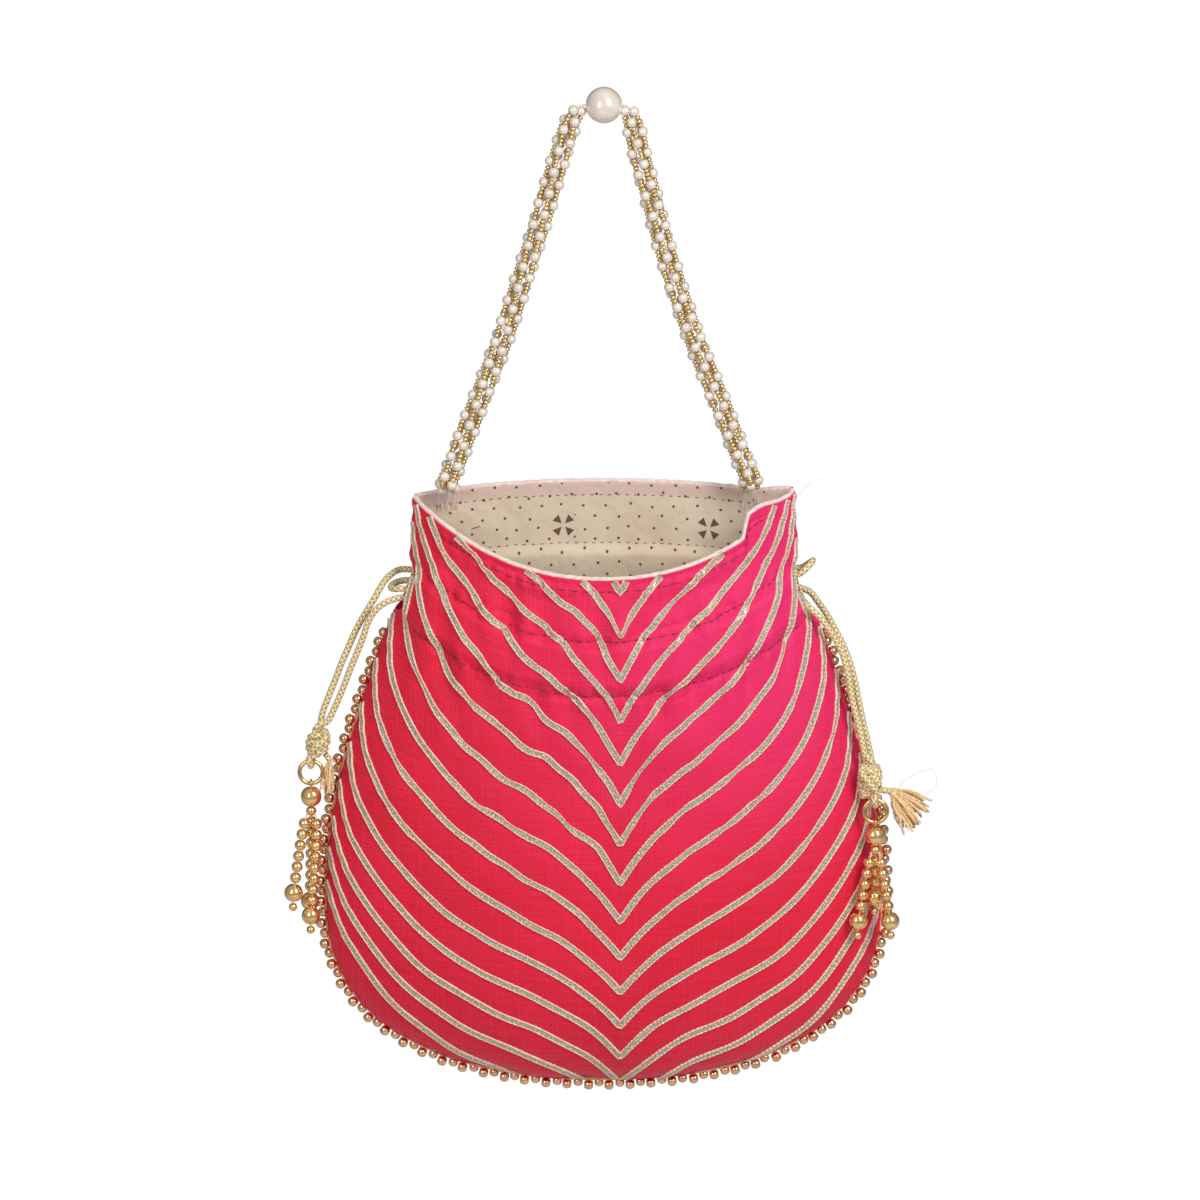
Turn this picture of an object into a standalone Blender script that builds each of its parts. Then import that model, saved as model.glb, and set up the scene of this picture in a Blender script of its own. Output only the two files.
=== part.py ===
"""A potli: a stuffed drawstring pouch of silk with a printed cotton lining, hung by its beaded handle.

Metres, +Z up, front towards -Y. The origin is the point under the big handle pearl where a hook
bears, and the pouch hangs below it. The side seams lie in the plane y = 0.
"""
import bmesh
import bpy
import math
from mathutils import Vector
from mathutils.bvhtree import BVHTree

GAP = 0.0003
COLLECTION = "potli_pouch"

# Outline of the pouch in the plane of its side seams
RIM_Z = -0.1465
WAIST_Z = -0.171
BELLY_Z = -0.301
SEAM_CORNER_Z = -0.346
BOTTOM_Z = -0.375
NECK_HALF = 0.0722
BELLY_HALF = 0.1063
WAIST_POWER = 1.15
BELLY_POWER = 2.6
OUTLINE_POWER = 2.2

# How far the stuffed panels stand out from the seam plane, and how their rims hang
MOUTH_DEPTH_FRONT = 0.030
MOUTH_DEPTH_BACK = 0.007
BELLY_DEPTH_FRONT = 0.035
BELLY_DEPTH_BACK = 0.046
BULGE_Z = -0.272
BULGE_POWER = 2.2
BULGE_ROUNDING = 0.55
RIM_DIP_FRONT = 0.026
RIM_DIP_BACK = -0.0045
RIM_DIP_POWER = 2.2
DIP_HOLDS_TO_Z = -0.193
DIP_ENDS_Z = -0.285
SECTION_POWER = 0.65
LOW_ROWS_POWER = 3

# Cloth layers and the casing that the two drawstrings run through
CLOTH = 0.0005
LAYER_GAP = 0.0003
LAYER_OFFSET = (LAYER_GAP + CLOTH) / 2
SEAM_HALF_GAP = 0.0008
CORD = 0.0025
CASING_TOP_Z = -0.168
CASING_UPPER_Z = -0.176
CASING_LOWER_Z = -0.1855
CASING_BOTTOM_Z = -0.193
SLIT_SHARE = 0.958
EXIT_SHARE = 0.950
SLIT_LIFT = 0.0012
SLIT_POWER = 10
SLIT_MARGIN_SHARE = 0.03
PANEL_COLUMNS = 12
ROWS_ABOVE = (RIM_Z, -0.157)
ROWS_BELOW = 8
ROWS_BELOW_POWER = 1.05
COLUMN_CROWDING = 0.35
NORMAL_STEP_SHARE = 0.04
NORMAL_STEP = 0.0008

# Metallic lace stitched on in nested chevrons
LACE_WIDTH = 0.0027
LACE_THICK = 0.0006
CHEVRONS = 14
FRONT_CUT_CHEVRONS = 2
BACK_CUT_CHEVRONS = 1
CHEVRON_X = 0.0062
CHEVRON_TOP_Z = -0.1773
CHEVRON_PITCH_TOP = 0.0168
CHEVRON_PITCH_BOTTOM = 0.0122
CHEVRON_PITCH_POWER = 1.3
ARM_STEEP_RISE = 0.0170
ARM_STEEP_REACH = 0.0170
ARM_SLOPE_UPPER = 0.607
ARM_SLOPE_LOWER = 0.316
ARM_EDGE_RISE = 0.0448
ARM_EDGE_POWER = 4.4
# The gathers draw the cloth together sideways above the belly, and the chevrons with it
GATHERING = 0.40
GATHERS_START_Z = -0.337
GATHERS_FULL_Z = -0.253
MOUTH_LOOSENING = 0.38
LOOSENS_FROM_Z = -0.195
LOOSE_AT_Z = -0.150
LACE_EDGE_SHARE = 0.955
LACE_RIM_MARGIN = 0.0016
LACE_STEP = 0.003
LACE_TOLERANCE = 0.00045
PROBE = 0.004
PROBES = 16

# Beaded edging round the seam
TRIM_BEAD = 0.0040
TRIM_PAIR_PITCH = 0.0081
TRIM_TAPE = 0.0014
TRIM_TOP_Z = -0.1985
TRIM_ZIGZAG = 0.0009
SEAM_STEPS = 120

# Handle: one big pearl and five strands of pearls and seed beads
PEARL = 0.0140
PEARL_BORE = 0.0033
STRANDS = 5
STRAND_PEARL = 0.0038
STRAND_PEARL_HALF_FLAT = 0.0012
STRAND_SEED = 0.0015
STRAND_PITCH = 0.0084
THREAD = 0.0007
THREAD_STEP = 0.0035
BUNDLE_RADIUS = 0.0031
BORE_RADIUS_OF_THREADS = 0.0010
BUNDLE_TURN = math.radians(234)
BUNDLE_OPENS = 0.0125
LAST_PEARL_ABOVE_TACK = 0.0165
TACK_Z = -0.152
TACK_SPREAD = 1.3
ABOVE_TACK = Vector((0, -0.0030, 0.0060))
LEG_LEFT = ((-0.0085, 0, 0.0070), (-0.0125, -0.0006, 0.0010), (-0.0150, -0.0012, -0.0070),
            (-0.0200, -0.0022, -0.0230), (-0.0312, -0.0042, -0.0600), (-0.0430, -0.0060, -0.0945),
            (-0.0530, -0.0068, -0.1200), (-0.0600, -0.0070, -0.1390))
LEG_RIGHT = ((0.0085, 0, 0.0070), (0.0112, -0.0006, 0.0000), (0.0138, -0.0012, -0.0130),
             (0.0185, -0.0022, -0.0300), (0.0281, -0.0042, -0.0645), (0.0405, -0.0060, -0.0980),
             (0.0500, -0.0068, -0.1220), (0.0570, -0.0070, -0.1390))

# Drawstrings: knots, hanger rings and beaded tassels
KNOT_LEFT = Vector((-0.1101, -0.0085, -0.2412))
KNOT_RIGHT = Vector((0.1024, -0.0125, -0.2555))
KNOT_HALF_LEFT = 0.0048
KNOT_HALF_RIGHT = 0.0064
KNOT_RADIUS = 0.0050
CORD_STEP = 0.0062
LOOP_STEP = 0.0045
HANGER_ARC = ((-1, 0.4), (-0.75, -0.66), (0, -1), (0.75, -0.66), (1, 0.35))
LEG_END = Vector((0.0008, CORD + GAP, GAP + 0.0004))
TAIL_LEFT = ((-0.1074, -0.0076, -0.2458), (-0.1046, -0.0070, -0.2500), (-0.1040, -0.0072, -0.2555),
             (-0.1062, -0.0074, -0.2610))
TAIL_RIGHT = ((0.1079, -0.0122, -0.2566), (0.1130, -0.0114, -0.2588), (0.1182, -0.0117, -0.2630),
              (0.1240, -0.0120, -0.2682))
TAIL_ROOT_RADIUS = 0.0009
TAIL_SWELL = 0.0011
KNOT_PROFILE = ((-1.0, 0.25), (-0.78, 0.70), (-0.35, 0.97), (0.35, 0.97), (0.78, 0.70), (1.0, 0.25))
RING_RADIUS = 0.00445
RING_WIRE = 0.0016
EYE_RADIUS = 0.0016
EYE_WIRE = 0.0008
BALL = 0.0080
SMALL_BEAD = 0.0040
END_BEAD = 0.0032
BEAD_PITCH = 0.0043
FIRST_BEAD = 0.0064
TASSEL_LEFT = Vector((-0.1128, -0.0095, -0.2526))
TASSEL_RIGHT = Vector((0.1046, -0.0150, -0.2668))
BEADS_LEFT = (6, 8, 7)
BEADS_RIGHT = (5, 5, 3)
STRAND_BEND = 0.010
BALL_PROFILE = ((-0.45, 0.16), (-0.28, 0.42), (0.28, 0.42), (0.45, 0.16))
# Each string of beads leans sideways and forwards: at its top, at its bend and at its ball
SPREAD_LEFT = (((-0.0009, -0.0006), (-0.0035, -0.0018), (-0.0069, -0.0024)),
               ((0.0010, -0.0006), (0.0021, -0.0020), (-0.0002, -0.0024)),
               ((0.0001, 0.0011), (0.0000, 0.0030), (-0.0006, 0.0042)))
SPREAD_RIGHT = (((-0.0009, -0.0006), (-0.0033, -0.0018), (-0.0066, -0.0022)),
                ((0.0010, -0.0006), (0.0028, -0.0018), (0.0058, -0.0018)),
                ((0.0001, 0.0011), (0.0000, 0.0030), (-0.0002, 0.0034)))

# Where each drawstring enters and leaves the casing, as side-seam heights
LEFT_CORD_FRONT = (-0.1840, -0.1762)
LEFT_CORD_BACK = (-0.1765, -0.1765)
RIGHT_CORD_FRONT = (-0.1808, -0.1853)
RIGHT_CORD_BACK = (-0.1800, -0.1820)

# Routes outside the casing, chosen by eye: legs run from the knot up, loops pass round the seam
LEFT_LEG_FRONT = ((-0.1065, -0.0075, -0.2330), (-0.1032, -0.0075, -0.2265), (-0.1005, -0.0078, -0.2200),
                  (-0.0978, -0.0080, -0.2127), (-0.0951, -0.0082, -0.2060), (-0.0926, -0.0085, -0.1995),
                  (-0.0905, -0.0088, -0.1930), (-0.0870, -0.0092, -0.1880), (-0.0820, -0.0090, -0.1850),
                  (-0.0768, -0.0078, -0.1842))
LEFT_LEG_BACK = ((-0.0780, 0.0062, -0.1760), (-0.0815, 0.0040, -0.1772), (-0.0842, 0.0008, -0.1792),
                 (-0.0862, -0.0018, -0.1818), (-0.0882, -0.0034, -0.1852), (-0.0905, -0.0040, -0.1890),
                 (-0.0932, -0.0042, -0.1935), (-0.0958, -0.0045, -0.1985), (-0.0984, -0.0048, -0.2045),
                 (-0.1010, -0.0052, -0.2105), (-0.1036, -0.0054, -0.2175), (-0.1062, -0.0056, -0.2240),
                 (-0.1085, -0.0057, -0.2305))
LEFT_LOOP = ((-0.0770, -0.0076, -0.1808), (-0.0798, -0.0068, -0.1810), (-0.0816, -0.0040, -0.1814),
             (-0.0820, -0.0005, -0.1816), (-0.0814, 0.0026, -0.1812), (-0.0795, 0.0044, -0.1806),
             (-0.0770, 0.0048, -0.1801))
RIGHT_LEG_FRONT = ((0.1005, -0.0122, -0.2450), (0.0992, -0.0118, -0.2385), (0.0978, -0.0114, -0.2325),
                   (0.0962, -0.0110, -0.2262), (0.0950, -0.0108, -0.2200), (0.0938, -0.0106, -0.2130),
                   (0.0915, -0.0104, -0.2050), (0.0875, -0.0104, -0.1975), (0.0832, -0.0106, -0.1915),
                   (0.0795, -0.0100, -0.1880), (0.0763, -0.0080, -0.1860))
RIGHT_LEG_BACK = ((0.0790, 0.0055, -0.1845), (0.0825, 0.0045, -0.1885), (0.0860, 0.0015, -0.1930),
                  (0.0893, -0.0020, -0.1985), (0.0925, -0.0050, -0.2045), (0.0950, -0.0072, -0.2110),
                  (0.0968, -0.0080, -0.2180), (0.0982, -0.0084, -0.2250), (0.0996, -0.0088, -0.2320),
                  (0.1012, -0.0092, -0.2390))
RIGHT_LOOP = ((0.0732, -0.0058, -0.1760), (0.0758, -0.0055, -0.1750), (0.0786, -0.0044, -0.1726),
              (0.0804, -0.0014, -0.1710), (0.0798, 0.0026, -0.1722), (0.0765, 0.0050, -0.1748))

FRONT, BACK = -1, 1


def make_collection(name):
    collection = bpy.data.collections.new(name)
    bpy.context.scene.collection.children.link(collection)
    return collection


def make_material(name, colour, roughness, metallic=0.0):
    material = bpy.data.materials.new(name)
    material.use_nodes = True
    shader = material.node_tree.nodes["Principled BSDF"]
    shader.inputs["Base Color"].default_value = (*colour, 1)
    shader.inputs["Roughness"].default_value = roughness
    shader.inputs["Metallic"].default_value = metallic
    return material


def keep(obj, name, collection, material=None):
    """Names an object, moves it to its collection and gives it a material."""
    obj.name = name
    for old in list(obj.users_collection):
        old.objects.unlink(obj)
    collection.objects.link(obj)
    if material:
        obj.data.materials.clear()
        obj.data.materials.append(material)
    return obj


def mesh_object(name, points, faces, collection, material):
    mesh = bpy.data.meshes.new(name)
    mesh.from_pydata([tuple(point) for point in points], [], faces)
    mesh.update()
    return keep(bpy.data.objects.new(name, mesh), name, collection, material)


def face_outwards(obj):
    """Cuts a closed mesh's faces into triangles and turns them outwards."""
    shape = bmesh.new()
    shape.from_mesh(obj.data)
    bmesh.ops.triangulate(shape, faces=shape.faces)
    bmesh.ops.recalc_face_normals(shape, faces=shape.faces)
    shape.to_mesh(obj.data)
    shape.free()
    return obj


def tube(name, points, radii, collection, material, resolution):
    """A closed tube through points, with a radius at each: a cord, a thread or a string of beads."""
    curve = bpy.data.curves.new(name, "CURVE")
    curve.dimensions = "3D"
    curve.bevel_depth = 0.001
    curve.bevel_resolution = resolution
    curve.use_fill_caps = True
    spline = curve.splines.new("POLY")
    spline.points.add(len(points) - 1)
    for knot, point, radius in zip(spline.points, points, radii):
        knot.co = (*point, 1)
        knot.radius = radius / curve.bevel_depth
    return keep(bpy.data.objects.new(name, curve), name, collection, material)


def set_origin(obj, place):
    """Moves an object's origin to a joint's axis and leaves its shape where it is."""
    place = Vector(place)
    if obj.type == "CURVE":
        for point in obj.data.splines[0].points:
            point.co = (*(Vector(point.co[:3]) - place), 1)
    else:
        for vertex in obj.data.vertices:
            vertex.co -= place
    obj.location = place


def ease(share):
    share = min(max(share, 0.0), 1.0)
    return share * share * (3 - 2 * share)


def smooth_line(points, step):
    """Points about a step apart on a Catmull-Rom curve through the given points."""
    points = [Vector(point) for point in points]
    padded = [2 * points[0] - points[1], *points, 2 * points[-1] - points[-2]]
    line = []
    for a, b, c, d in zip(padded, padded[1:], padded[2:], padded[3:]):
        count = max(1, round((c - b).length / step))
        for index in range(count):
            t = index / count
            line.append(0.5 * (2 * b + (c - a) * t + (2 * a - 5 * b + 4 * c - d) * t ** 2
                               + (3 * b - a - 3 * c + d) * t ** 3))
    line.append(points[-1])
    return line


class Route:
    """A polyline that is read by the distance along it."""

    def __init__(self, points):
        self.points = points
        self.lengths = [0.0]
        for a, b in zip(points, points[1:]):
            self.lengths.append(self.lengths[-1] + (b - a).length)
        self.length = self.lengths[-1]

    def at(self, distance):
        distance = min(max(distance, 0.0), self.length)
        index = 0
        while index < len(self.points) - 2 and self.lengths[index + 1] < distance:
            index += 1
        span = self.lengths[index + 1] - self.lengths[index]
        a, b = self.points[index], self.points[index + 1]
        return a.lerp(b, (distance - self.lengths[index]) / span), (b - a).normalized()


def half_width(z):
    """Half the pouch's width at a height, along its outline."""
    if z >= WAIST_Z:
        return NECK_HALF
    if z >= BELLY_Z:
        share = (WAIST_Z - z) / (WAIST_Z - BELLY_Z)
        return NECK_HALF + (BELLY_HALF - NECK_HALF) * math.sin(math.pi / 2 * share) ** WAIST_POWER
    share = min((BELLY_Z - z) / (BELLY_Z - BOTTOM_Z), 1.0)
    return BELLY_HALF * (1 - share ** BELLY_POWER) ** (1 / OUTLINE_POWER)


def outline_z(x):
    """Height of the rounded bottom of the outline at x."""
    share = min(abs(x) / BELLY_HALF, 1.0)
    return BELLY_Z - (BELLY_Z - BOTTOM_Z) * (1 - share ** OUTLINE_POWER) ** (1 / BELLY_POWER)


def bulge(side, z):
    """How far a panel's middle stands out from the seam plane at a height."""
    mouth = MOUTH_DEPTH_FRONT if side == FRONT else MOUTH_DEPTH_BACK
    belly = BELLY_DEPTH_FRONT if side == FRONT else BELLY_DEPTH_BACK
    if z >= BULGE_Z:
        return mouth + (belly - mouth) * ease((CASING_TOP_Z - z) / (CASING_TOP_Z - BULGE_Z))
    share = min((BULGE_Z - z) / (BULGE_Z - BOTTOM_Z), 1.0)
    return belly * (1 - share ** BULGE_POWER) ** BULGE_ROUNDING


def panel_point(side, u, height):
    """A point of a panel, from -1 to 1 across it and by the height of its side seam."""
    x = u * half_width(height)
    rim_dip = RIM_DIP_FRONT if side == FRONT else RIM_DIP_BACK
    dip = rim_dip * (1 - abs(u) ** RIM_DIP_POWER)
    dip *= 1 - ease((DIP_HOLDS_TO_Z - height) / (DIP_HOLDS_TO_Z - DIP_ENDS_Z))
    rise = ((RIM_Z - height) / (RIM_Z - SEAM_CORNER_Z)) ** LOW_ROWS_POWER
    z = height - dip - (SEAM_CORNER_Z - outline_z(u * half_width(SEAM_CORNER_Z))) * rise
    share = min(abs(x) / max(half_width(z), 1e-6), 1.0)
    depth = bulge(side, z) * (1 - share ** 2) ** SECTION_POWER
    return Vector((x, side * (SEAM_HALF_GAP + depth), z))


def panel_normal(side, u, height):
    inner_u = u - math.copysign(NORMAL_STEP_SHARE, u)
    low = max(height - NORMAL_STEP, SEAM_CORNER_Z)
    across = panel_point(side, max(u, inner_u), height) - panel_point(side, min(u, inner_u), height)
    down = panel_point(side, inner_u, low) - panel_point(side, inner_u, low + NORMAL_STEP)
    normal = across.cross(down)
    if normal.y * side < 0:
        normal = -normal
    return normal.normalized()


def panel_rows():
    casing = (CASING_TOP_Z, CASING_UPPER_Z, CASING_LOWER_Z, CASING_BOTTOM_Z)
    below = [CASING_BOTTOM_Z + (SEAM_CORNER_Z - CASING_BOTTOM_Z) * (row / ROWS_BELOW) ** ROWS_BELOW_POWER
             for row in range(1, ROWS_BELOW)]
    return (*ROWS_ABOVE, *casing, *below, SEAM_CORNER_Z)


def panel_columns():
    """Shares across a panel, closer together towards the seams."""
    half = PANEL_COLUMNS // 2
    steps = [index / half for index in range(-half, half + 1)]
    return [step * (1 + COLUMN_CROWDING * (1 - step ** 2)) for step in steps]


def cloth_panel(name, side, outward, collection, material):
    """One layer of cloth: outward is 1 for the silk and -1 for the lining."""
    rows, columns = panel_rows(), panel_columns()
    tunnel = CORD + GAP + LAYER_GAP / 2
    points, bases = [], []
    for height in rows:
        in_tunnel = height in (CASING_UPPER_Z, CASING_LOWER_Z)
        for u in columns:
            if in_tunnel and outward > 0 and abs(u) == 1:
                u = math.copysign(SLIT_SHARE, u)
            normal = panel_normal(side, u, height)
            bases.append(panel_point(side, u, height))
            points.append(bases[-1] + normal * LAYER_OFFSET * outward)
            if in_tunnel:
                if outward < 0 and abs(u) == 1:
                    normal.y = 0
                points[-1] += normal.normalized() * tunnel * outward
    width = len(columns)
    faces = []
    for row in range(len(rows) - 1):
        for column in range(width - 1):
            a = row * width + column
            corners = [a, a + width, a + width + 1, a + 1]
            middle, edge = (bases[corners[0]] + bases[corners[2]]), (bases[corners[1]] + bases[corners[3]])
            if (edge - middle).y * side > 0:
                corners = corners[1:] + corners[:1]
            faces += [tuple(corners[:3]), (corners[2], corners[3], corners[0])]
    if side == BACK:
        faces = [face[::-1] for face in faces]
    panel = mesh_object(name, points, faces, collection, material)
    thicken = panel.modifiers.new("cloth", "SOLIDIFY")
    thicken.thickness = CLOTH
    thicken.offset = 0
    return panel


def surface_tree(obj):
    """The evaluated outer surface of an object, for laying lace on it."""
    graph = bpy.context.evaluated_depsgraph_get()
    return BVHTree.FromObject(obj, graph)


def chevron_rise(distance, slope, half):
    """How much higher a chevron's arm is than its tip, at a distance to one side of it."""
    steep = ARM_STEEP_RISE * (1 - math.exp(-distance / ARM_STEEP_REACH))
    return steep + slope * distance + ARM_EDGE_RISE * min(distance / half, 1) ** ARM_EDGE_POWER


def chevron_tips():
    tips, z = [], CHEVRON_TOP_Z
    last = CHEVRONS + max(FRONT_CUT_CHEVRONS, BACK_CUT_CHEVRONS)
    for index in range(last):
        tips.append(z)
        share = (index / (last - 1)) ** CHEVRON_PITCH_POWER
        z -= CHEVRON_PITCH_TOP + (CHEVRON_PITCH_BOTTOM - CHEVRON_PITCH_TOP) * share
    return tips


def on_panel(side, x, z):
    """Whether lace can lie at a place: clear of the seams and below the rim."""
    if z < BOTTOM_Z or abs(x) > LACE_EDGE_SHARE * half_width(z):
        return False
    return z < panel_point(side, x / half_width(RIM_Z), RIM_Z).z - LACE_RIM_MARGIN


def cloth_half(z):
    """Half the width that the flat cloth is drawn in to; below the belly it is only cut round."""
    return half_width(max(z, BELLY_Z))


def crowding(z):
    """How much closer the gathers lie at the middle of a panel than at its sides, as a share."""
    drawn = GATHERING * ease((z - GATHERS_START_Z) / (GATHERS_FULL_Z - GATHERS_START_Z))
    gathered = 1 + drawn - MOUTH_LOOSENING * ease((z - LOOSENS_FROM_Z) / (LOOSE_AT_Z - LOOSENS_FROM_Z))
    return 1 - BELLY_HALF / cloth_half(z) / gathered


def chevron_arm(side, tip_z, order, hand):
    """Places on one arm of a chevron, from its tip outwards, as far as the cloth reaches."""
    slope = ARM_SLOPE_UPPER + (ARM_SLOPE_LOWER - ARM_SLOPE_UPPER) * ease(order / CHEVRONS)
    places, distance = [], 0.0
    tip_x = CHEVRON_X * -side
    half = BELLY_HALF - hand * tip_x
    while distance < half:
        share = distance / half
        z = tip_z + chevron_rise(distance, slope, half)
        reach = cloth_half(z) - hand * tip_x
        x = tip_x + hand * reach * share * (1 - crowding(z) * (1 - share))
        if on_panel(side, x, z):
            places.append((x, z))
        elif places:
            break
        steep = ARM_STEEP_RISE / ARM_STEEP_REACH * math.exp(-distance / ARM_STEEP_REACH)
        distance += LACE_STEP / math.hypot(1, slope + steep)
    return places


def thin_out(points, tolerance):
    """Keeps the points that a polyline needs to stay within a tolerance of its full course."""
    if len(points) < 3:
        return list(points)
    chord = (points[-1][0] - points[0][0]).normalized()
    away = [((point[0] - points[0][0]).cross(chord)).length for point in points]
    worst = max(range(len(points)), key=lambda index: away[index])
    if away[worst] <= tolerance:
        return [points[0], points[-1]]
    return thin_out(points[:worst + 1], tolerance)[:-1] + thin_out(points[worst:], tolerance)


def lay_lace(name, side, places, tree, collection, material):
    """A flat lace along places on the silk, seated a gap above it."""
    spots = []
    for x, z in places:
        hit, normal, _, _ = tree.ray_cast(Vector((x, side * BELLY_HALF, z)), Vector((0, -side, 0)))
        if hit is not None:
            spots.append((hit, normal if normal.y * side > 0 else -normal))
    spots = thin_out(spots, LACE_TOLERANCE)
    if len(spots) < 2:
        return None
    rows = []
    for index, (point, normal) in enumerate(spots):
        before = spots[max(index - 1, 0)]
        after = spots[min(index + 1, len(spots) - 1)]
        along = (after[0] - before[0]).normalized()
        normal = (before[1] + 2 * normal + after[1]).normalized()
        across = along.cross(normal).normalized()
        fold = 1.0
        if 0 < index < len(spots) - 1:
            turn = (point - before[0]).angle(after[0] - point)
            fold = 1 / max(math.cos(turn / 2), 0.5)
        rows.append((point, normal, across * LACE_WIDTH / 2 * fold))
    lowest = 1.0
    for (p1, n1, w1), (p2, n2, w2) in zip(rows, rows[1:]):
        for share in [step / PROBES for step in range(PROBES + 1)]:
            away = n1.lerp(n2, share).normalized()
            for edge in (-1, -0.5, 0, 0.5, 1):
                spot = (p1 + w1 * edge).lerp(p2 + w2 * edge, share)
                foot, _, _, _ = tree.ray_cast(spot + away * PROBE, -away, 2 * PROBE)
                if foot is not None:
                    lowest = min(lowest, (spot - foot).dot(away))
    lift = GAP - lowest
    points, faces = [], []
    for point, normal, width in rows:
        base, top = point + normal * lift, point + normal * (lift + LACE_THICK)
        points += [base - width, base + width, top + width, top - width]
    for row in range(len(rows) - 1):
        for corner in range(4):
            a, b = 4 * row + corner, 4 * row + (corner + 1) % 4
            faces.append((a, b, b + 4, a + 4))
    end = 4 * (len(rows) - 1)
    faces += [(3, 2, 1, 0), (end, end + 1, end + 2, end + 3)]
    return face_outwards(mesh_object(name, points, faces, collection, material))


def lace_set(side, silk, collection, material):
    """All the lace of one panel: whole chevrons, then the arms that the bottom seam cuts off."""
    tree = surface_tree(silk)
    word = "front" if side == FRONT else "back"
    cut = FRONT_CUT_CHEVRONS if side == FRONT else BACK_CUT_CHEVRONS
    for order, tip_z in enumerate(chevron_tips()[:CHEVRONS + cut], 1):
        left = chevron_arm(side, tip_z, order, -1)
        right = chevron_arm(side, tip_z, order, 1)
        if order <= CHEVRONS:
            whole = list(reversed(left)) + right[1:]
            lay_lace(f"lace_{word}_{order:02d}", side, whole, tree, collection, material)
        else:
            lay_lace(f"lace_{word}_{order:02d}_left", side, left, tree, collection, material)
            lay_lace(f"lace_{word}_{order:02d}_right", side, right, tree, collection, material)


def seam_line():
    """The outline from the left slit round the bottom to the right slit, with outward directions."""
    points = []
    for index in range(SEAM_STEPS + 1):
        z = TRIM_TOP_Z + (SEAM_CORNER_Z - TRIM_TOP_Z) * index / SEAM_STEPS
        points.append(Vector((-half_width(z), 0, z)))
    corner = half_width(SEAM_CORNER_Z)
    for index in range(1, SEAM_STEPS):
        x = -corner * math.cos(math.pi * index / SEAM_STEPS)
        points.append(Vector((x, 0, outline_z(x))))
    points += [Vector((-point.x, 0, point.z)) for point in reversed(points[:SEAM_STEPS + 1])]
    return Route(points)


def bead_trim(collection, material):
    """Pairs of beads sewn along a tape: the tape's line swells at each bead."""
    seam = seam_line()
    reach = LAYER_GAP / 2 + CLOTH + GAP
    pairs = round(seam.length / TRIM_PAIR_PITCH)
    step = seam.length / pairs / 4
    points, radii = [], []
    for index in range(4 * pairs + 1):
        place, along = seam.at(step * index)
        outward = Vector((along.z, 0, -along.x))
        bead = index % 2 == 1
        outer = index % 4 == 3
        radius = TRIM_BEAD / 2 if bead else TRIM_TAPE / 2
        out = reach + TRIM_BEAD / 2 + (TRIM_ZIGZAG if outer else 0)
        if not bead:
            out -= TRIM_BEAD / 2 - TRIM_TAPE
        points.append(place + outward * out)
        radii.append(radius)
    return tube("bead_trim", points, radii, collection, material, 0)


def strand_points(order):
    """One strand of the handle, from its left tack, through the big pearl, to its right tack."""
    angle = 2 * math.pi * order / STRANDS
    stagger = (order * 2 % STRANDS) / STRANDS * STRAND_PITCH
    halves = []
    for hand, leg in ((-1, LEG_LEFT), (1, LEG_RIGHT)):
        route = Route(smooth_line(leg, 0.002))
        last = route.length - LAST_PEARL_ABOVE_TACK + (leg[-1][2] - TACK_Z)
        line = []
        centre = BUNDLE_OPENS + stagger
        bare = int((centre - STRAND_PEARL) / THREAD_STEP)
        stops = [(index * THREAD_STEP, THREAD) for index in range(bare + 1)]
        while centre < last:
            stops += [(centre - STRAND_PEARL_HALF_FLAT, STRAND_PEARL),
                      (centre + STRAND_PEARL_HALF_FLAT, STRAND_PEARL),
                      (centre + STRAND_PITCH / 2, STRAND_SEED)]
            centre += STRAND_PITCH
        stops.append((route.length, THREAD))
        for distance, size in stops:
            place, along = route.at(distance)
            side_way = along.cross(Vector((0, 1, 0))).normalized()
            front_way = side_way.cross(along).normalized()
            open_share = ease(distance / BUNDLE_OPENS)
            radius = BORE_RADIUS_OF_THREADS + (BUNDLE_RADIUS - BORE_RADIUS_OF_THREADS) * open_share
            turn = (angle if hand < 0 else math.pi - angle) + BUNDLE_TURN * distance / route.length
            place = place + (side_way * math.cos(turn) + front_way * math.sin(turn)) * radius
            line.append((place, size / 2))
        tack = tack_point(leg[-1][0] + side_way.x * math.cos(turn) * BUNDLE_RADIUS * TACK_SPREAD)
        line.append((tack + ABOVE_TACK, THREAD / 2))
        line.append((tack, THREAD / 2))
        halves.append(line)
    return list(reversed(halves[0])) + halves[1]


def tack_point(x):
    """Where a strand is sewn to the back lining, just inside the mouth."""
    base = panel_point(BACK, x / half_width(TACK_Z), TACK_Z)
    inner = LAYER_GAP / 2 + CLOTH + GAP + THREAD / 2
    return Vector((x, base.y - inner, TACK_Z))


def handle(collection, cutters, pearl_material, strand_material):
    for order in range(STRANDS):
        line = strand_points(order)
        tube(f"handle_strand_{order + 1}", [point for point, _ in line], [radius for _, radius in line],
             collection, strand_material, 0)
    bpy.ops.mesh.primitive_uv_sphere_add(segments=16, ring_count=10, radius=PEARL / 2,
                                         location=(0, 0, PEARL / 2), rotation=(0, math.pi / 2, 0))
    pearl = keep(bpy.context.object, "handle_pearl", collection, pearl_material)
    pearl.data.shade_smooth()
    bpy.ops.mesh.primitive_cylinder_add(vertices=12, radius=PEARL_BORE / 2, depth=2 * PEARL,
                                        location=(0, 0, PEARL / 2), rotation=(0, math.pi / 2, 0))
    drill = keep(bpy.context.object, "pearl_bore", cutters)
    drill.hide_render = True
    drill.display_type = "WIRE"
    bore = pearl.modifiers.new("bore", "BOOLEAN")
    bore.operation = "DIFFERENCE"
    bore.object = drill


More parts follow.
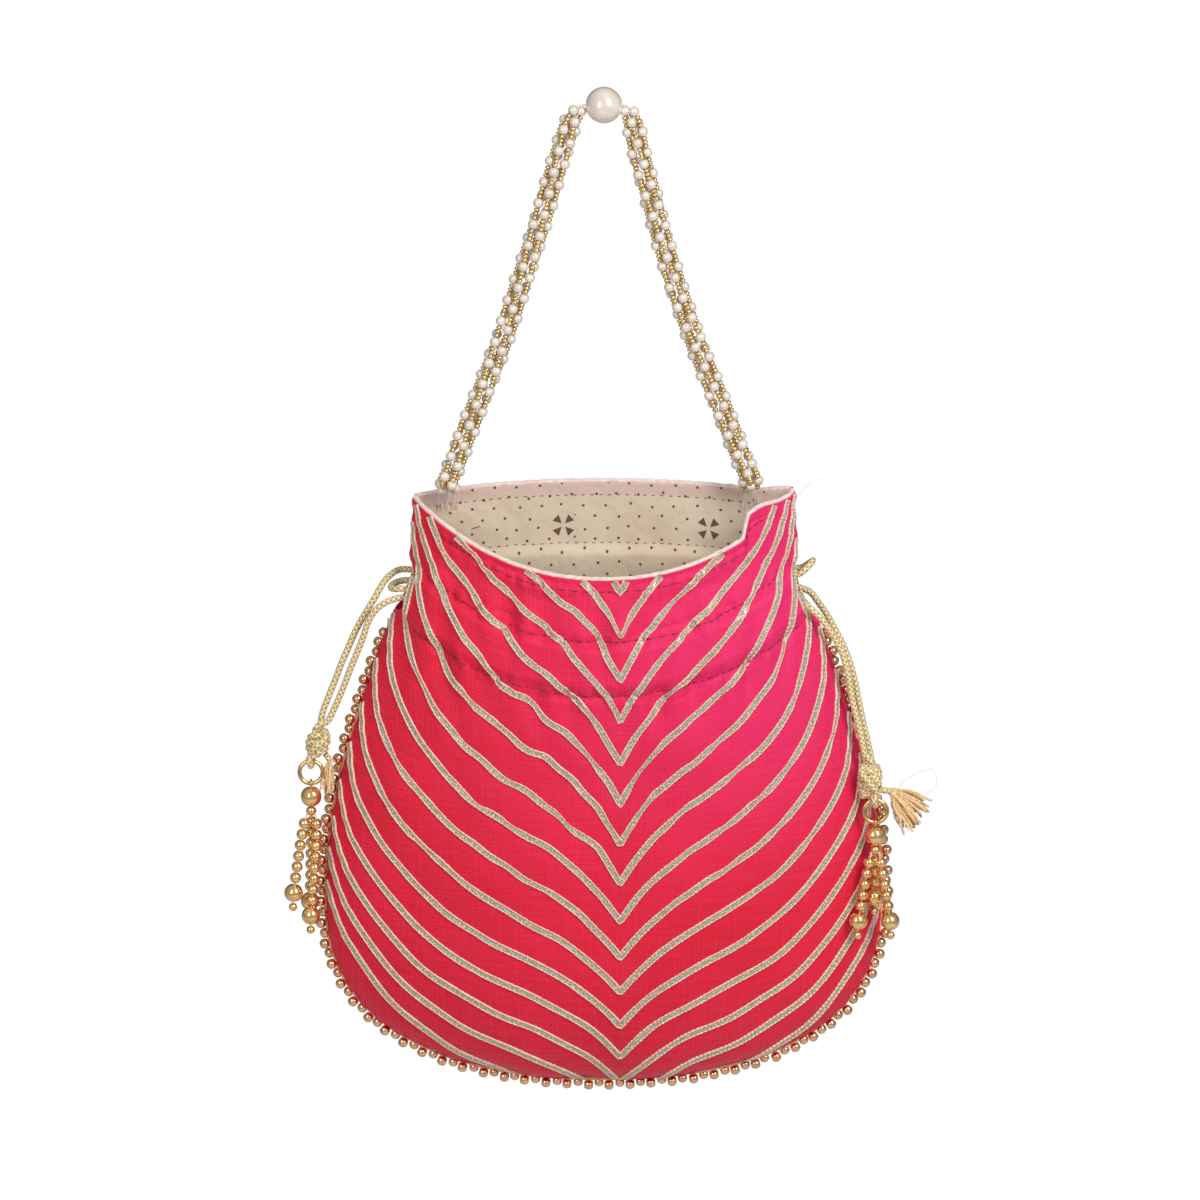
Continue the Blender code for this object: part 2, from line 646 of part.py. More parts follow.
def casing_run(side, heights, layer, direction):
    """The stretch of a drawstring inside the casing, from one slit to the other."""
    start, end = heights
    shares = [share for share in panel_columns() if abs(share) < SLIT_SHARE - SLIT_MARGIN_SHARE]
    shares = [-EXIT_SHARE, *shares, EXIT_SHARE]
    points = []
    for u in shares:
        height = start + (end - start) * (u + EXIT_SHARE) / (2 * EXIT_SHARE)
        at_slit = abs(u) ** SLIT_POWER
        offset = layer * (CORD + GAP) / 2 * (1 - at_slit) + SLIT_LIFT * at_slit
        points.append(panel_point(side, u, height) + panel_normal(side, u, height) * offset)
    return points if direction > 0 else points[::-1]


def drawstring(name, knot, knot_half, ring_top, leg_up, front_run, loop, back_run, leg_down,
               collection, material):
    """One drawstring in one piece: hanger loop, knot, leg, casing, loop round the seam, casing, leg."""
    swing = RING_WIRE / 2 + CORD / 2 + GAP
    points = [ring_top + Vector((0, y, z)) * swing for y, z in HANGER_ARC]
    radii = [CORD / 2] * len(points)
    for share, swell in KNOT_PROFILE:
        points.append(knot + Vector((0, 0, share * knot_half)))
        radii.append(KNOT_RADIUS * swell)
    rise = knot + Vector((0, 0, knot_half + 0.002))
    up = smooth_line([rise, *leg_up, front_run[0]], CORD_STEP)
    across = smooth_line([front_run[-1], *loop, back_run[0]], LOOP_STEP)
    end = knot + LEG_END + Vector((0, 0, knot_half))
    down = smooth_line([back_run[-1], *leg_down, end], CORD_STEP)
    rest = up + front_run[1:-1] + across + back_run[1:-1] + down
    points += rest
    radii += [CORD / 2] * len(rest)
    return tube(name, points, radii, collection, material, 2)


def frayed_tail(name, points, collection, material):
    line = smooth_line(points, CORD_STEP)
    radii = [TAIL_ROOT_RADIUS + TAIL_SWELL * math.sin(math.pi * min(index / (len(line) - 1), 0.9) ** 1.5)
             for index in range(len(line))]
    return tube(name, line, radii, collection, material, 0)


def tassel(word, ring_centre, spread, counts, collection, cutters, ring_material, bead_material):
    """A ring, a ball with an eye that hangs from the ring, and three strings of beads."""
    bpy.ops.mesh.primitive_torus_add(major_radius=RING_RADIUS, minor_radius=RING_WIRE / 2,
                                     major_segments=16, minor_segments=6, rotation=(math.pi / 2, 0, 0),
                                     location=ring_centre)
    ring = keep(bpy.context.object, f"tassel_ring_{word}", collection, ring_material)
    bpy.ops.object.select_all(action="DESELECT")
    ring.select_set(True)
    bpy.ops.object.transform_apply(location=True, rotation=True, scale=True)
    set_origin(ring, ring_centre + Vector((0, 0, RING_RADIUS)))
    hook = ring_centre + Vector((0, 0, -RING_RADIUS))
    eye_centre = hook + Vector((0, 0, RING_WIRE / 2 + GAP - (EYE_RADIUS - EYE_WIRE / 2)))
    ball_centre = hook - Vector((0, 0, RING_WIRE / 2 + GAP + BALL / 2))
    bpy.ops.mesh.primitive_uv_sphere_add(segments=12, ring_count=8, radius=BALL / 2, location=ball_centre)
    ball = keep(bpy.context.object, f"tassel_ball_{word}", collection, bead_material)
    ball.data.shade_smooth()
    set_origin(ball, hook - ball_centre)
    ball.location = hook
    bpy.ops.mesh.primitive_torus_add(major_radius=EYE_RADIUS, minor_radius=EYE_WIRE / 2,
                                     major_segments=12, minor_segments=5, rotation=(0, math.pi / 2, 0),
                                     location=eye_centre)
    eye = keep(bpy.context.object, f"tassel_eye_{word}", cutters)
    eye.hide_render = True
    eye.display_type = "WIRE"
    join = ball.modifiers.new("eye", "BOOLEAN")
    join.operation = "UNION"
    join.object = eye
    foot = ball_centre - Vector((0, 0, BALL / 2 + GAP))
    for order, ((start, middle, end), count) in enumerate(zip(spread, counts), 1):
        bead_string(f"tassel_strand_{word}_{order}", foot, start, middle, end, count,
                    collection, bead_material)


def bead_string(name, foot, start, middle, end, count, collection, material):
    """Small beads on a thread, then a ball and an end bead, leaning from start to end offsets."""
    run = FIRST_BEAD + (count - 1) * BEAD_PITCH
    ball_at = run + SMALL_BEAD / 2 + BALL / 2
    end_at = ball_at + BALL / 2 + END_BEAD / 2
    length = end_at + END_BEAD / 2
    first = foot + Vector((start[0], start[1], 0))
    ways = [first, foot + Vector((*middle, -STRAND_BEND)), foot + Vector((*end, -ball_at)),
            foot + Vector((*end, -length))]
    route = Route(smooth_line(ways, 0.002))
    stops = [(0.0, THREAD / 2), (FIRST_BEAD - SMALL_BEAD / 2, THREAD / 2)]
    for index in range(count):
        centre = FIRST_BEAD + index * BEAD_PITCH
        stops += [(centre, SMALL_BEAD / 2), (centre + BEAD_PITCH / 2, THREAD)]
    stops = stops[:-1] + [(ball_at + along * BALL, BALL * around) for along, around in BALL_PROFILE]
    stops += [(end_at, END_BEAD / 2), (length, END_BEAD * 0.15)]
    points = [route.at(distance)[0] for distance, _ in stops]
    string = tube(name, points, [radius for _, radius in stops], collection, material, 1)
    set_origin(string, first)
    return string


def main():
    for obj in list(bpy.data.objects):
        bpy.data.objects.remove(obj, do_unlink=True)
    parts = make_collection(COLLECTION)
    cutters = make_collection("cutters")
    silk = make_material("crimson_raw_silk", (0.70, 0.03, 0.07), 0.55)
    cotton = make_material("printed_cotton", (0.62, 0.52, 0.38), 0.9)
    lace = make_material("metallic_lace", (0.55, 0.45, 0.33), 0.45, 0.4)
    gold = make_material("rose_gold_beads", (0.72, 0.40, 0.20), 0.22, 0.9)
    braid = make_material("gold_braid", (0.58, 0.41, 0.14), 0.5, 0.3)
    pearl = make_material("imitation_pearl", (0.84, 0.78, 0.70), 0.25)
    metal = make_material("brass_wire", (0.65, 0.46, 0.20), 0.3, 1.0)
    fray = make_material("frayed_yarn", (0.62, 0.32, 0.14), 0.8)

    silk_panels = {}
    for side, word in ((FRONT, "front"), (BACK, "back")):
        silk_panels[side] = cloth_panel(f"silk_{word}", side, 1, parts, silk)
        cloth_panel(f"lining_{word}", side, -1, parts, cotton)
    bpy.context.view_layer.update()
    for side in (FRONT, BACK):
        lace_set(side, silk_panels[side], parts, lace)
    bead_trim(parts, gold)
    handle(parts, cutters, pearl, pearl)

    ring_top_left = TASSEL_LEFT + Vector((0, 0, RING_RADIUS))
    ring_top_right = TASSEL_RIGHT + Vector((0, 0, RING_RADIUS))
    drawstring("drawstring_left", KNOT_LEFT, KNOT_HALF_LEFT, ring_top_left, LEFT_LEG_FRONT,
               casing_run(FRONT, LEFT_CORD_FRONT, 1, 1), RIGHT_LOOP,
               casing_run(BACK, LEFT_CORD_BACK, 1, -1), LEFT_LEG_BACK, parts, braid)
    drawstring("drawstring_right", KNOT_RIGHT, KNOT_HALF_RIGHT, ring_top_right, RIGHT_LEG_FRONT,
               casing_run(FRONT, RIGHT_CORD_FRONT, -1, -1), LEFT_LOOP,
               casing_run(BACK, RIGHT_CORD_BACK, -1, 1), RIGHT_LEG_BACK, parts, braid)
    frayed_tail("knot_tail_left", TAIL_LEFT, parts, fray)
    frayed_tail("knot_tail_right", TAIL_RIGHT, parts, fray)
    tassel("left", TASSEL_LEFT, SPREAD_LEFT, BEADS_LEFT, parts, cutters, metal, gold)
    tassel("right", TASSEL_RIGHT, SPREAD_RIGHT, BEADS_RIGHT, parts, cutters, metal, gold)


main()
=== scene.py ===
"""A potli: a stuffed drawstring pouch of crimson raw silk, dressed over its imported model.

Metres, +Z up, front towards -Y, the origin under the big handle pearl. The side seams lie in y = 0.
"""
import math
import random

import bpy
import numpy as np
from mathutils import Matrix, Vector, noise


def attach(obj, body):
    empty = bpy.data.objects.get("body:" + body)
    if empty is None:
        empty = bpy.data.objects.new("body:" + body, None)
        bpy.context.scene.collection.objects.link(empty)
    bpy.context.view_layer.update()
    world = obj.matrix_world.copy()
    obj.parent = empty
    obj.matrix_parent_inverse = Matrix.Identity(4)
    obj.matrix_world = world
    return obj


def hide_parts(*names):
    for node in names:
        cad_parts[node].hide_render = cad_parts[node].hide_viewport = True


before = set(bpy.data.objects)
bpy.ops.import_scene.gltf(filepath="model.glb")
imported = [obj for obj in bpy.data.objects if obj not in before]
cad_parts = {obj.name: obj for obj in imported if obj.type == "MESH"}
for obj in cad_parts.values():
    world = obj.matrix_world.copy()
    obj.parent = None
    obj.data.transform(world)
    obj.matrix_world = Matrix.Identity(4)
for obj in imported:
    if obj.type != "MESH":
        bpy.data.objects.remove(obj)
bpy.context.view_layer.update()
chance = random.Random(11)

# Outline of the pouch and how its stuffed panels stand out, as in the model
GAP = 0.0003
RIM_Z, WAIST_Z, BELLY_Z, SEAM_CORNER_Z, BOTTOM_Z = -0.1465, -0.171, -0.301, -0.346, -0.375
NECK_HALF, BELLY_HALF = 0.0722, 0.1063
WAIST_POWER, BELLY_POWER, OUTLINE_POWER = 1.15, 2.6, 2.2
FRONT, BACK = -1, 1
MOUTH_DEPTH = {FRONT: 0.030, BACK: 0.007}
BELLY_DEPTH = {FRONT: 0.035, BACK: 0.046}
RIM_DIP = {FRONT: 0.026, BACK: -0.0045}
BULGE_Z, BULGE_POWER, BULGE_ROUNDING = -0.272, 2.2, 0.55
RIM_DIP_POWER, DIP_HOLDS_TO_Z, DIP_ENDS_Z = 2.2, -0.193, -0.285
SECTION_POWER, LOW_ROWS_POWER = 0.65, 3
COLUMN_CROWDING, PANEL_COLUMNS = 0.35, 12
NORMAL_STEP_SHARE, NORMAL_STEP = 0.04, 0.0008

# Cloth layers and the casing that the drawstrings run through
CLOTH, LAYER_GAP, SEAM_HALF_GAP = 0.0005, 0.0003, 0.0008
LAYER_OFFSET = (LAYER_GAP + CLOTH) / 2
CORD = 0.0025
CASING_TOP_Z = -0.168
SLIT_SHARE, EXIT_SHARE, SLIT_LIFT, SLIT_POWER, SLIT_MARGIN_SHARE = 0.958, 0.950, 0.0012, 10, 0.03
TUNNEL = CORD + GAP + LAYER_GAP / 2
CASING_STITCH_UPPER, CASING_STITCH_LOWER = -0.1700, -0.1908
TUNNEL_SIDE = 0.0044

# How the real cloth stands off the model's surface: gathers, puckers, dents and the puffed silk between laces
PLEAT_DEPTH, PLEAT_PUFF, PLEATS_LOST_ABOVE = 0.0034, 0.0020, 0.62
PLEATS_REACH_ABOVE, PLEATS_REACH_BELOW = 0.02, 0.052
STITCH_REACH, RIM_ROW_DROP, LINING_ROW_DROP, PUCKER_DEPTH, PUCKER_LIFT = 0.0044, 0.0044, 0.0048, 0.0027, 0.2
TUNNEL_PUFF, TUNNEL_PLEAT, PULL_POWER, CALM_POWER = 0.0012, 0.0012, 24, 6
DENT_DEPTH, DENT_STRETCH, BELOW_REACH = 0.0011, 1.1, 0.03
QUILT_DEPTH, QUILT_HALF, QUILT_NEAR_MOUTH = 0.0006, 0.0055, 0.3
SEAM_PUCKER, SEAM_PUCKER_PITCH, SEAM_PUCKER_FROM = 0.00025, 0.0068, 0.86
LINING_PLEAT, LINING_SINK, LINING_FLAT_FROM = 0.0009, 0.0005, 0.97
FOLD_AT, FOLD_WIDTH, FOLD_RISE = 0.735, 0.035, 0.0085
CORNER_FROM, CORNER_REACH, CORNER_LIFT = 0.80, 0.2, {FRONT: -0.0058, BACK: 0.0027}
ABOVE_RIM, HALVINGS = 0.004, 36

# Lace chevrons
CHEVRONS, CUT_CHEVRONS = 14, {FRONT: 2, BACK: 1}
CHEVRON_X, CHEVRON_TOP_Z = 0.0062, -0.1773
CHEVRON_PITCH_TOP, CHEVRON_PITCH_BOTTOM, CHEVRON_PITCH_POWER = 0.0168, 0.0122, 1.3
ARM_STEEP_RISE, ARM_STEEP_REACH = 0.0170, 0.0170
ARM_SLOPE_UPPER, ARM_SLOPE_LOWER = 0.607, 0.316
ARM_EDGE_RISE, ARM_EDGE_POWER, EDGE_CLIMB = 0.0448, 4.4, 0.009
GATHERING, GATHERS_START_Z, GATHERS_FULL_Z = 0.40, -0.337, -0.253
MOUTH_LOOSENING, LOOSENS_FROM_Z, LOOSE_AT_Z = 0.38, -0.195, -0.150
LACE_WIDTH, LACE_EDGE_SHARE, LACE_STEP = 0.0028, 0.997, 0.0009

# Beads
TRIM_TOP_Z, TRIM_PAIR_PITCH, TRIM_BEAD, TRIM_ZIGZAG, TAPE_STEP = -0.1985, 0.0081, 0.0040, 0.0009, 0.0008
PEARL = 0.0140
STRANDS, STRAND_PEARL, STRAND_SEED, STRAND_PITCH = 5, 0.0040, 0.0020, 0.0084
BUNDLE_RADIUS, BUNDLE_TURN, BUNDLE_OPENS = 0.0031, math.radians(234), 0.0125
LAST_PEARL_ABOVE_TACK, TACK_Z, TACK_SPREAD, THREAD = 0.0062, -0.152, 1.3, 0.0007
FIRST_PEARL, TOP_BUNDLE, SEED_PITCH, SEED_RADIUS_SHARE = 0.0024, 0.0020, 0.00155, 0.57
ABOVE_TACK = Vector((0, -0.0030, 0.0060))
LEG_LEFT = ((-0.0085, 0, 0.0070), (-0.0125, -0.0006, 0.0010), (-0.0150, -0.0012, -0.0070),
            (-0.0200, -0.0022, -0.0230), (-0.0312, -0.0042, -0.0600), (-0.0430, -0.0060, -0.0945),
            (-0.0530, -0.0068, -0.1200), (-0.0600, -0.0070, -0.1390))
LEG_RIGHT = ((0.0085, 0, 0.0070), (0.0112, -0.0006, 0.0000), (0.0138, -0.0012, -0.0130),
             (0.0185, -0.0022, -0.0300), (0.0281, -0.0042, -0.0645), (0.0405, -0.0060, -0.0980),
             (0.0500, -0.0068, -0.1220), (0.0570, -0.0070, -0.1390))

# Knots, rings and tassels
KNOT = {"left": Vector((-0.1101, -0.0085, -0.2412)), "right": Vector((0.1024, -0.0125, -0.2555))}
KNOT_HALF = {"left": 0.0048, "right": 0.0064}
KNOT_WRAP_X, KNOT_WRAP_Y, KNOT_LEAN, KNOT_WRAPS = 0.0038, 0.0032, math.radians(17), {"left": 4, "right": 5}
LEG_END = Vector((0.0008, CORD + GAP, GAP + 0.0004))
RING_CENTRE = {"left": Vector((-0.1128, -0.0095, -0.2526)), "right": Vector((0.1046, -0.0150, -0.2668))}
RING_RADIUS, RING_WIRE, EYE_RADIUS, EYE_WIRE = 0.00445, 0.0016, 0.0016, 0.0008
BALL, SMALL_BEAD, END_BEAD = 0.0080, 0.0040, 0.0032
BEAD_PITCH, FIRST_BEAD, STRAND_BEND, NECK_BEAD_DROP = 0.0043, 0.0064, 0.010, 0.0017
BEADS = {"left": (6, 8, 7), "right": (5, 5, 3)}
SPREAD = {"left": (((-0.0009, -0.0006), (-0.0035, -0.0018), (-0.0069, -0.0024)),
                   ((0.0010, -0.0006), (0.0021, -0.0020), (-0.0002, -0.0024)),
                   ((0.0001, 0.0011), (0.0000, 0.0030), (-0.0006, 0.0042))),
          "right": (((-0.0009, -0.0006), (-0.0033, -0.0018), (-0.0066, -0.0022)),
                    ((0.0010, -0.0006), (0.0028, -0.0018), (0.0058, -0.0018)),
                    ((0.0001, 0.0011), (0.0000, 0.0030), (-0.0002, 0.0034)))}
TAIL = {"left": ((-0.1074, -0.0076, -0.2458), (-0.1046, -0.0070, -0.2500), (-0.1040, -0.0072, -0.2555),
                 (-0.1062, -0.0074, -0.2610)),
        "right": ((0.1060, -0.0126, -0.2588), (0.1128, -0.0114, -0.2604), (0.1180, -0.0117, -0.2640),
                  (0.1240, -0.0120, -0.2682))}

# Where the drawstrings run: heights in the casing, then the routes outside it
CASING_RUNS = {"left": ((-0.1840, -0.1762), (-0.1765, -0.1765)),
               "right": ((-0.1808, -0.1853), (-0.1800, -0.1820))}
LEFT_LEG_FRONT = ((-0.1065, -0.0075, -0.2330), (-0.1032, -0.0075, -0.2265), (-0.1005, -0.0078, -0.2200),
                  (-0.0978, -0.0080, -0.2127), (-0.0951, -0.0082, -0.2060), (-0.0926, -0.0085, -0.1995),
                  (-0.0905, -0.0088, -0.1930), (-0.0870, -0.0092, -0.1880), (-0.0820, -0.0090, -0.1850),
                  (-0.0768, -0.0078, -0.1842))
LEFT_LEG_BACK = ((-0.0780, 0.0062, -0.1760), (-0.0815, 0.0040, -0.1772), (-0.0842, 0.0008, -0.1792),
                 (-0.0862, -0.0018, -0.1818), (-0.0882, -0.0034, -0.1852), (-0.0905, -0.0040, -0.1890),
                 (-0.0932, -0.0042, -0.1935), (-0.0958, -0.0045, -0.1985), (-0.0984, -0.0048, -0.2045),
                 (-0.1010, -0.0052, -0.2105), (-0.1036, -0.0054, -0.2175), (-0.1062, -0.0056, -0.2240),
                 (-0.1085, -0.0057, -0.2305))
LEFT_LOOP = ((-0.0770, -0.0076, -0.1808), (-0.0798, -0.0068, -0.1810), (-0.0816, -0.0040, -0.1814),
             (-0.0820, -0.0005, -0.1816), (-0.0814, 0.0026, -0.1812), (-0.0795, 0.0044, -0.1806),
             (-0.0770, 0.0048, -0.1801))
RIGHT_LEG_FRONT = ((0.1005, -0.0122, -0.2450), (0.0992, -0.0118, -0.2385), (0.0978, -0.0114, -0.2325),
                   (0.0962, -0.0110, -0.2262), (0.0950, -0.0108, -0.2200), (0.0938, -0.0106, -0.2130),
                   (0.0915, -0.0104, -0.2050), (0.0875, -0.0104, -0.1975), (0.0832, -0.0106, -0.1915),
                   (0.0795, -0.0100, -0.1880), (0.0763, -0.0080, -0.1860))
RIGHT_LEG_BACK = ((0.0790, 0.0055, -0.1845), (0.0825, 0.0045, -0.1885), (0.0860, 0.0015, -0.1930),
                  (0.0893, -0.0020, -0.1985), (0.0925, -0.0050, -0.2045), (0.0950, -0.0072, -0.2110),
                  (0.0968, -0.0080, -0.2180), (0.0982, -0.0084, -0.2250), (0.0996, -0.0088, -0.2320),
                  (0.1012, -0.0092, -0.2390))
RIGHT_LOOP = ((0.0732, -0.0058, -0.1760), (0.0758, -0.0055, -0.1750), (0.0786, -0.0044, -0.1726),
              (0.0804, -0.0014, -0.1710), (0.0798, 0.0026, -0.1722), (0.0765, 0.0050, -0.1748))


def ease(share):
    """0 below 0 and 1 above 1, with a soft start and end between them."""
    share = np.clip(share, 0.0, 1.0)
    return share * share * (3 - 2 * share)


def smooth_line(points, step):
    """Points about a step apart on a Catmull-Rom curve through the given points."""
    points = [Vector(point) for point in points]
    padded = [2 * points[0] - points[1], *points, 2 * points[-1] - points[-2]]
    line = []
    for a, b, c, d in zip(padded, padded[1:], padded[2:], padded[3:]):
        count = max(1, round((c - b).length / step))
        for index in range(count):
            t = index / count
            line.append(0.5 * (2 * b + (c - a) * t + (2 * a - 5 * b + 4 * c - d) * t ** 2
                               + (3 * b - a - 3 * c + d) * t ** 3))
    line.append(points[-1])
    return line


class Route:
    """A polyline that is read by the distance along it."""

    def __init__(self, points):
        self.points = [Vector(point) for point in points]
        self.lengths = [0.0]
        for a, b in zip(self.points, self.points[1:]):
            self.lengths.append(self.lengths[-1] + (b - a).length)
        self.length = self.lengths[-1]

    def at(self, distance):
        distance = min(max(distance, 0.0), self.length)
        index = int(np.searchsorted(self.lengths, distance, side="left")) - 1
        index = min(max(index, 0), len(self.points) - 2)
        span = self.lengths[index + 1] - self.lengths[index]
        a, b = self.points[index], self.points[index + 1]
        return a.lerp(b, (distance - self.lengths[index]) / span), (b - a).normalized()


# The panels' surfaces, for whole arrays of places at once


def half_width(z):
    upper = np.clip((WAIST_Z - z) / (WAIST_Z - BELLY_Z), 0, 1)
    wide = NECK_HALF + (BELLY_HALF - NECK_HALF) * np.sin(np.pi / 2 * upper) ** WAIST_POWER
    lower = np.clip((BELLY_Z - z) / (BELLY_Z - BOTTOM_Z), 0, 1)
    return np.where(lower > 0, BELLY_HALF * (1 - lower ** BELLY_POWER) ** (1 / OUTLINE_POWER), wide)


def outline_z(x):
    share = np.clip(np.abs(x) / BELLY_HALF, 0, 1)
    return BELLY_Z - (BELLY_Z - BOTTOM_Z) * (1 - share ** OUTLINE_POWER) ** (1 / BELLY_POWER)


def bulge(side, z):
    mouth, belly = MOUTH_DEPTH[side], BELLY_DEPTH[side]
    upper = mouth + (belly - mouth) * ease((CASING_TOP_Z - z) / (CASING_TOP_Z - BULGE_Z))
    share = np.clip((BULGE_Z - z) / (BULGE_Z - BOTTOM_Z), 0, 1)
    return np.where(z >= BULGE_Z, upper, belly * (1 - share ** BULGE_POWER) ** BULGE_ROUNDING)


def panel(side, u, height):
    """Points of a panel, from -1 to 1 across it and by the height of its side seam."""
    u, height = np.asarray(u, float), np.asarray(height, float)
    x = u * half_width(height)
    dip = RIM_DIP[side] * (1 - np.abs(u) ** RIM_DIP_POWER)
    dip = dip * (1 - ease((DIP_HOLDS_TO_Z - height) / (DIP_HOLDS_TO_Z - DIP_ENDS_Z)))
    rise = ((RIM_Z - height) / (RIM_Z - SEAM_CORNER_Z)) ** LOW_ROWS_POWER
    z = height - dip - (SEAM_CORNER_Z - outline_z(u * half_width(SEAM_CORNER_Z))) * rise
    share = np.clip(np.abs(x) / np.maximum(half_width(z), 1e-6), 0, 1)
    depth = bulge(side, z) * (1 - share ** 2) ** SECTION_POWER
    return np.stack([x, side * (SEAM_HALF_GAP + depth), z], axis=-1)


def unit(vectors):
    return vectors / np.maximum(np.linalg.norm(vectors, axis=-1, keepdims=True), 1e-12)


def panel_normal(side, u, height):
    u, height = np.asarray(u, float), np.asarray(height, float)
    inner = u - np.copysign(NORMAL_STEP_SHARE, u)
    low = np.maximum(height - NORMAL_STEP, SEAM_CORNER_Z)
    across = panel(side, np.maximum(u, inner), height) - panel(side, np.minimum(u, inner), height)
    down = panel(side, inner, low) - panel(side, inner, low + NORMAL_STEP)
    normal = np.cross(across, down)
    return unit(normal * np.where(normal[..., 1:2] * side < 0, -1, 1))


def waves(seed, count, shortest, longest, tilt):
    """Seeded sine waves that run across the cloth: wave number, tilt with height, phase and share."""
    pick = random.Random(seed)
    made = []
    for _ in range(count):
        length = pick.uniform(shortest, longest)
        made.append((2 * math.pi / length, pick.uniform(-tilt, tilt), pick.uniform(0, 2 * math.pi),
                     pick.uniform(0.6, 1.0)))
    return made


PLEATS = {FRONT: waves(3, 6, 0.0085, 0.021, 0.35), BACK: waves(5, 6, 0.0085, 0.021, 0.35)}
PUCKERS = {FRONT: waves(14, 5, 0.008, 0.017, 1.1), BACK: waves(15, 5, 0.008, 0.017, 1.1)}
DENTS = {FRONT: waves(8, 5, 0.036, 0.085, 1.0), BACK: waves(9, 5, 0.036, 0.085, 1.0)}


def wave_sum(parts, x, height):
    total = sum(share * np.sin(number * (x + tilt * height) + phase) for number, tilt, phase, share in parts)
    return total / sum(share for *_, share in parts)


def tunnel_share(height):
    """1 where the casing stands off the layer under it and 0 at its two stitched rows and beyond."""
    from_top, from_foot = CASING_STITCH_UPPER - height, height - CASING_STITCH_LOWER
    return ease(from_top / TUNNEL_SIDE) * ease(from_foot / TUNNEL_SIDE)


def chevron_tips():
    tips, z = [], CHEVRON_TOP_Z
    last = CHEVRONS + max(CUT_CHEVRONS.values())
    for index in range(last):
        tips.append(z)
        share = (index / (last - 1)) ** CHEVRON_PITCH_POWER
        z -= CHEVRON_PITCH_TOP + (CHEVRON_PITCH_BOTTOM - CHEVRON_PITCH_TOP) * share
    return tips


def arm_slope(order):
    return ARM_SLOPE_UPPER + (ARM_SLOPE_LOWER - ARM_SLOPE_UPPER) * ease(order / CHEVRONS)


def chevron_rise(distance, slope, half):
    steep = ARM_STEEP_RISE * (1 - np.exp(-distance / ARM_STEEP_REACH))
    return steep + slope * distance + ARM_EDGE_RISE * np.clip(distance / half, 0, 1) ** ARM_EDGE_POWER


def drawn_in(z):
    """0 where the cloth lies flat over the belly and 1 where the casing has gathered it."""
    return ease((z - GATHERS_START_Z) / (GATHERS_FULL_Z - GATHERS_START_Z))


def cloth_half(z):
    """Half the width that the flat cloth is drawn in to; below the belly it is only cut round."""
    return half_width(np.maximum(z, BELLY_Z))


def crowding(z):
    """How much closer the gathers lie at the middle of a panel than at its sides, as a share."""
    loosened = MOUTH_LOOSENING * ease((z - LOOSENS_FROM_Z) / (LOOSE_AT_Z - LOOSENS_FROM_Z))
    return 1 - BELLY_HALF / cloth_half(z) / (1 + GATHERING * drawn_in(z) - loosened)


def quilting(side, x, z):
    """0 under the lace and 1 half-way between two laces, where the silk puffs up."""
    tip_x = CHEVRON_X * -side
    hand = np.sign(x - tip_x)
    half = BELLY_HALF - hand * tip_x
    reached = np.abs(x - tip_x) / (cloth_half(z) - hand * tip_x)
    crowd = crowding(z)
    root = np.sqrt(np.maximum((1 - crowd) ** 2 + 4 * crowd * reached, 0))
    distance = half * 2 * reached / (1 - crowd + root)
    nearest = np.full(np.shape(x), QUILT_HALF)
    for order, tip in enumerate(chevron_tips()[:CHEVRONS + CUT_CHEVRONS[side]], 1):
        steep = ARM_STEEP_RISE / ARM_STEEP_REACH * np.exp(-distance / ARM_STEEP_REACH)
        away = np.abs(z - tip - chevron_rise(distance, arm_slope(order), half))
        nearest = np.minimum(nearest, away / np.hypot(1, arm_slope(order) + steep))
    return np.sin(np.pi / 2 * np.clip(nearest / QUILT_HALF, 0, 1))


def rim_lift(side, u, height):
    """The mouth stands higher beside the right-hand seam, past a fold in the front rim."""
    lift = CORNER_LIFT[side] * ease((u - CORNER_FROM) / CORNER_REACH)
    if side == FRONT:
        lift = FOLD_RISE * ease((u - FOLD_AT) / FOLD_WIDTH) + lift
    return lift * ease((height - CASING_STITCH_UPPER) / (RIM_Z - CASING_STITCH_UPPER))


